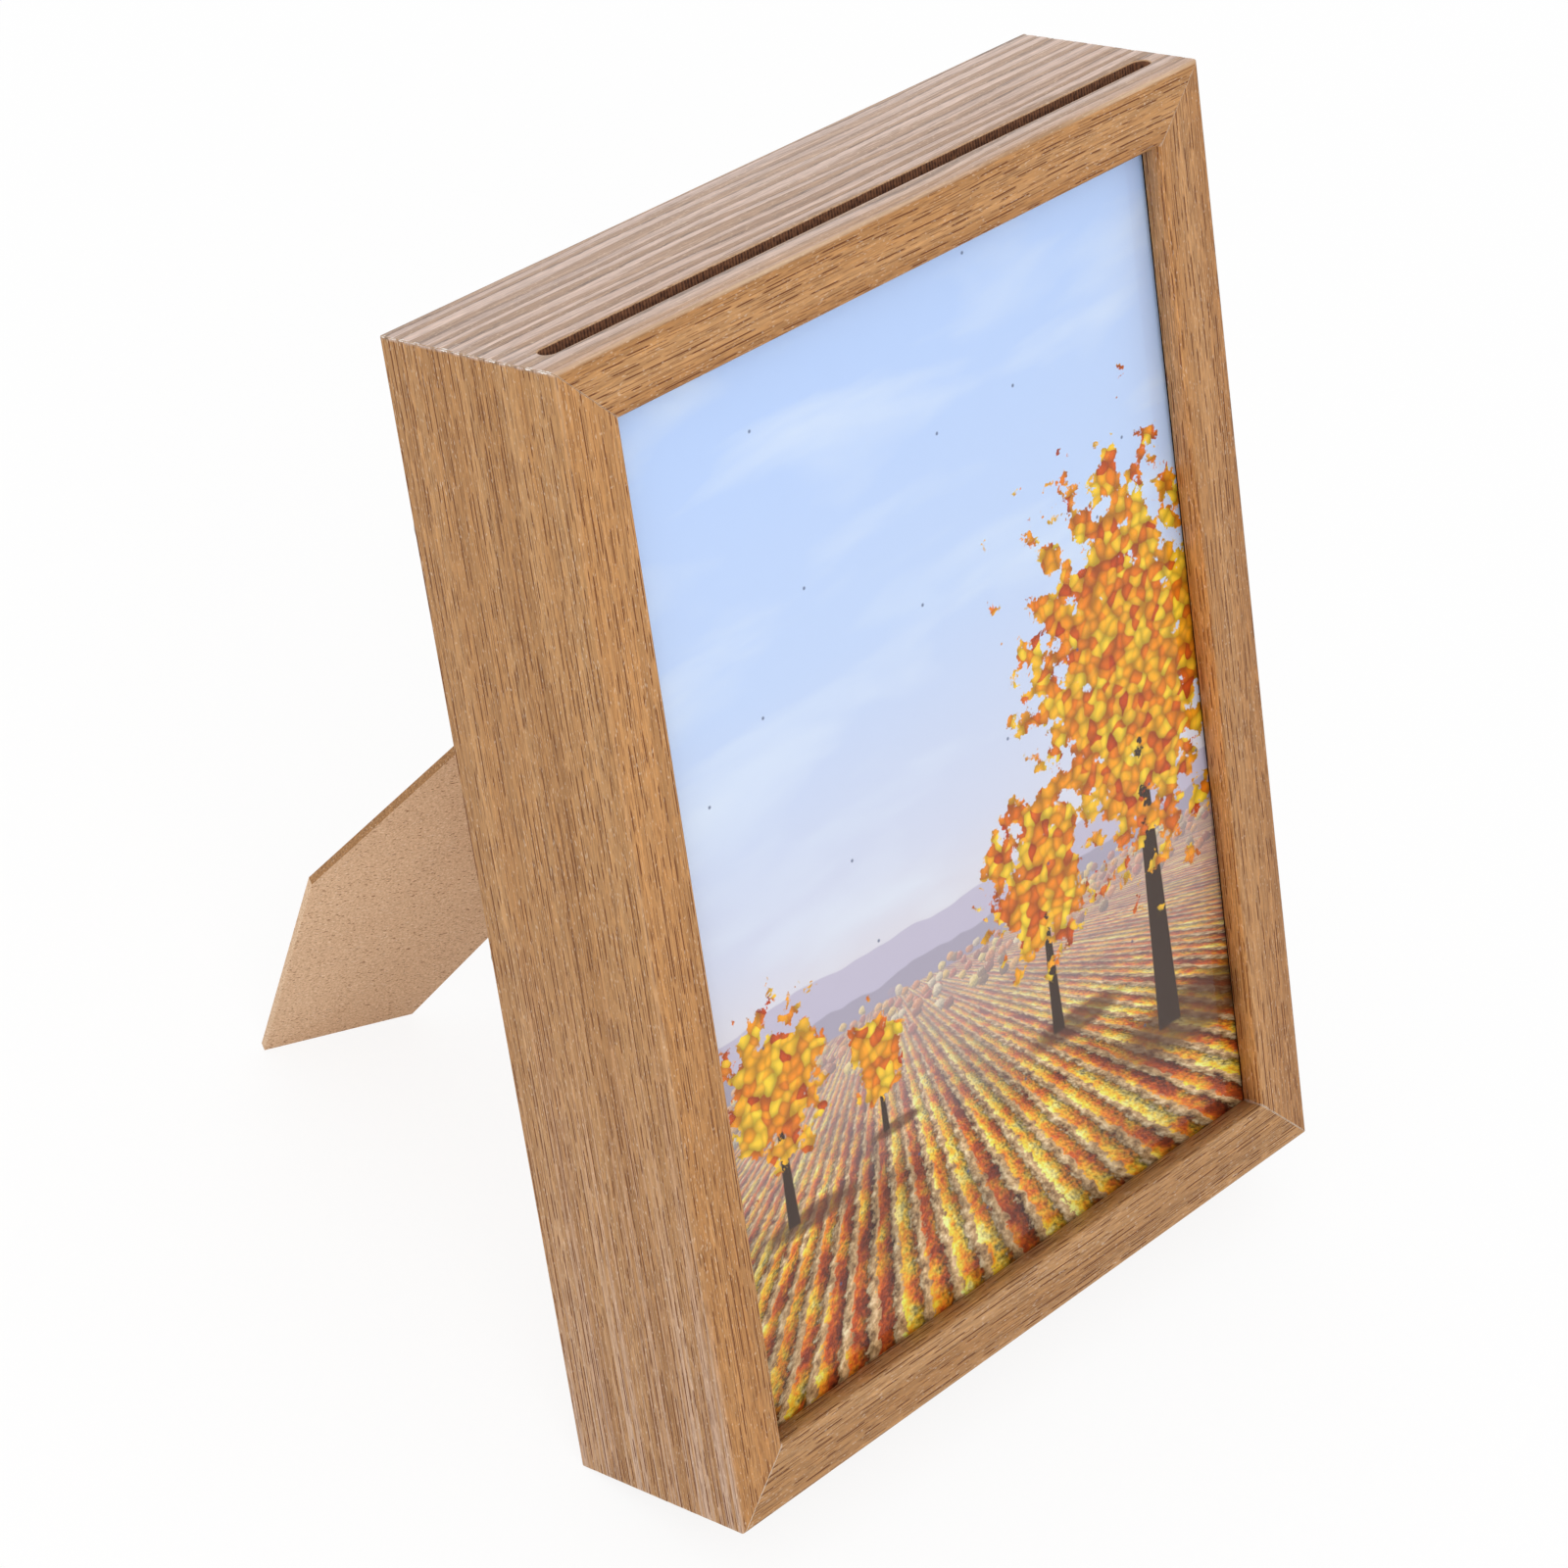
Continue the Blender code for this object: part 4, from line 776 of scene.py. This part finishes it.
strutFaces = max(nodes["strut"].data.polygons, key=lambda face: face.area).normal.copy()
board, plated = ("fibreboard", [rawBoard, sawnBoard]), ("plated_steel", [steel])
easedPiece("strutPlate", "strut", "strut", board, easeSize["strut"], facing=strutFaces)
easedPiece("backBoard", "back_board", "frame", board, easeSize["board"], facing=backWay)
for side in ("left", "right", "bottom"):
    easedPiece("spacer" + side.title(), "spacer_" + side, "frame", board, easeSize["spacer"], facing=backWay)
for number in range(1, 7):
    button, screw = "turn_button_" + str(number), "button_screw_" + str(number)
    easedPiece("turnButton" + str(number), button, button, plated, easeSize["button"], clamp=False)
    easedPiece("buttonScrew" + str(number), screw, "frame", plated, easeSize["screw"], steps=1)
easedPiece("hingeBoardLeaf", "hinge_board_leaf", "frame", plated, easeSize["hinge"])
easedPiece("hingeStrutLeaf", "hinge_strut_leaf", "strut", plated, easeSize["hinge"])
easedPiece("hingePin", "hinge_pin", "frame", plated, easeSize["hinge"])
for hand in ("left", "right"):
    easedPiece("boardRivet" + hand.title(), "board_rivet_" + hand, "frame", plated, easeSize["rivet"])
    easedPiece("strutRivet" + hand.title(), "strut_rivet_" + hand, "strut", plated, easeSize["rivet"])
print("fittings made")


def dress(node, material):
    nodes[node].data.materials.clear()
    nodes[node].data.materials.append(material)


dress("print_sheet", valleyPrint("printedPhotoPaper"))
dress("glazing", clearSheet("clearGlazing"))
dress("backing_card", pulpCard("greyPulpCard"))
for corner in ("bottom_left", "bottom_right", "top_left", "top_right"):
    dress("corner_nail_" + corner, steel)
print("sheets dressed")

# Plain white floor that keeps a faint shadow
stageLook = {"size": 6.0, "paper": "#FAFAFA", "shadow": 0.14, "skyLight": 0.86}
bm = bmesh.new()
bmesh.ops.create_grid(bm, x_segments=1, y_segments=1, size=stageLook["size"] / 2)
mesh = bpy.data.meshes.new("floor")
bm.to_mesh(mesh)
bm.free()
floor = bpy.data.objects.new("floor", mesh)
bpy.context.scene.collection.objects.link(floor)
paper = bpy.data.materials.new("whitePaperSweep")
tree = emptyTree(paper)
matt = addNode(tree, "BsdfDiffuse", {"Color": linear(stageLook["paper"])})
plain = addNode(tree, "Emission", {"Color": (1, 1, 1, 1), "Strength": 1.0})
shown = addNode(tree, "MixShader", {0: 1 - stageLook["shadow"], 1: matt, 2: plain})
surface = addNode(tree, "MixShader", {0: seenShare(tree), 1: matt, 2: shown})
addNode(tree, "OutputMaterial", {"Surface": surface})
mesh.materials.append(paper)

world = bpy.data.worlds.new("studio")
bpy.context.scene.world = world
tree = emptyTree(world)
strength = addNode(tree, "MapRange", {0: seenShare(tree), 3: stageLook["skyLight"], 4: 1.0})
studio = addNode(tree, "Background", {"Color": (1, 1, 1, 1), "Strength": strength})
addNode(tree, "OutputWorld", {"Surface": studio})

# Soft boxes: place, aim, size and power
lampLook = {
    "keySoftbox": ((-0.85, -0.9, 1.1), (0.0, 0.0, 0.12), 1.0, 7.0),
    "leftSoftbox": ((-1.2, 0.55, 0.4), (0.0, 0.06, 0.08), 0.7, 0.6),
    "backSoftbox": ((0.95, 1.15, 0.55), (0.0, 0.0, 0.2), 0.9, 2.5),
}
for name, (place, aim, size, power) in lampLook.items():
    lamp = bpy.data.lights.new(name, "AREA")
    lamp.shape = "SQUARE"
    lamp.size = size
    lamp.energy = power
    holder = bpy.data.objects.new(name, lamp)
    holder.location = place
    holder.rotation_euler = (Vector(aim) - Vector(place)).to_track_quat("-Z", "Y").to_euler()
    bpy.context.scene.collection.objects.link(holder)

# The photograph's camera, in the box's own axes
cameraLook = {"place": (-511.44, -585.99, 520.25), "look": (0.61797, 0.65909, -0.42862),
              "rise": (0.39719, 0.20876, 0.89368), "lens": 114.44, "sensor": 36.0, "near": 0.05}
look = (boxTurn @ Vector(cameraLook["look"])).normalized()
right = look.cross(boxTurn @ Vector(cameraLook["rise"])).normalized()
camera = bpy.data.objects.new("camera", bpy.data.cameras.new("camera"))
camera.data.lens = cameraLook["lens"]
camera.data.sensor_width = cameraLook["sensor"]
camera.data.clip_start = cameraLook["near"]
camera.matrix_world = (Matrix.Translation(worldFromBox @ (Vector(cameraLook["place"]) * mm))
                       @ Matrix((right, right.cross(look), -look)).transposed().to_4x4())
bpy.context.scene.collection.objects.link(camera)
bpy.context.scene.camera = camera
bpy.context.scene.view_settings.view_transform = "Standard"
print("stage, lamps and camera set")

bpy.context.view_layer.update()
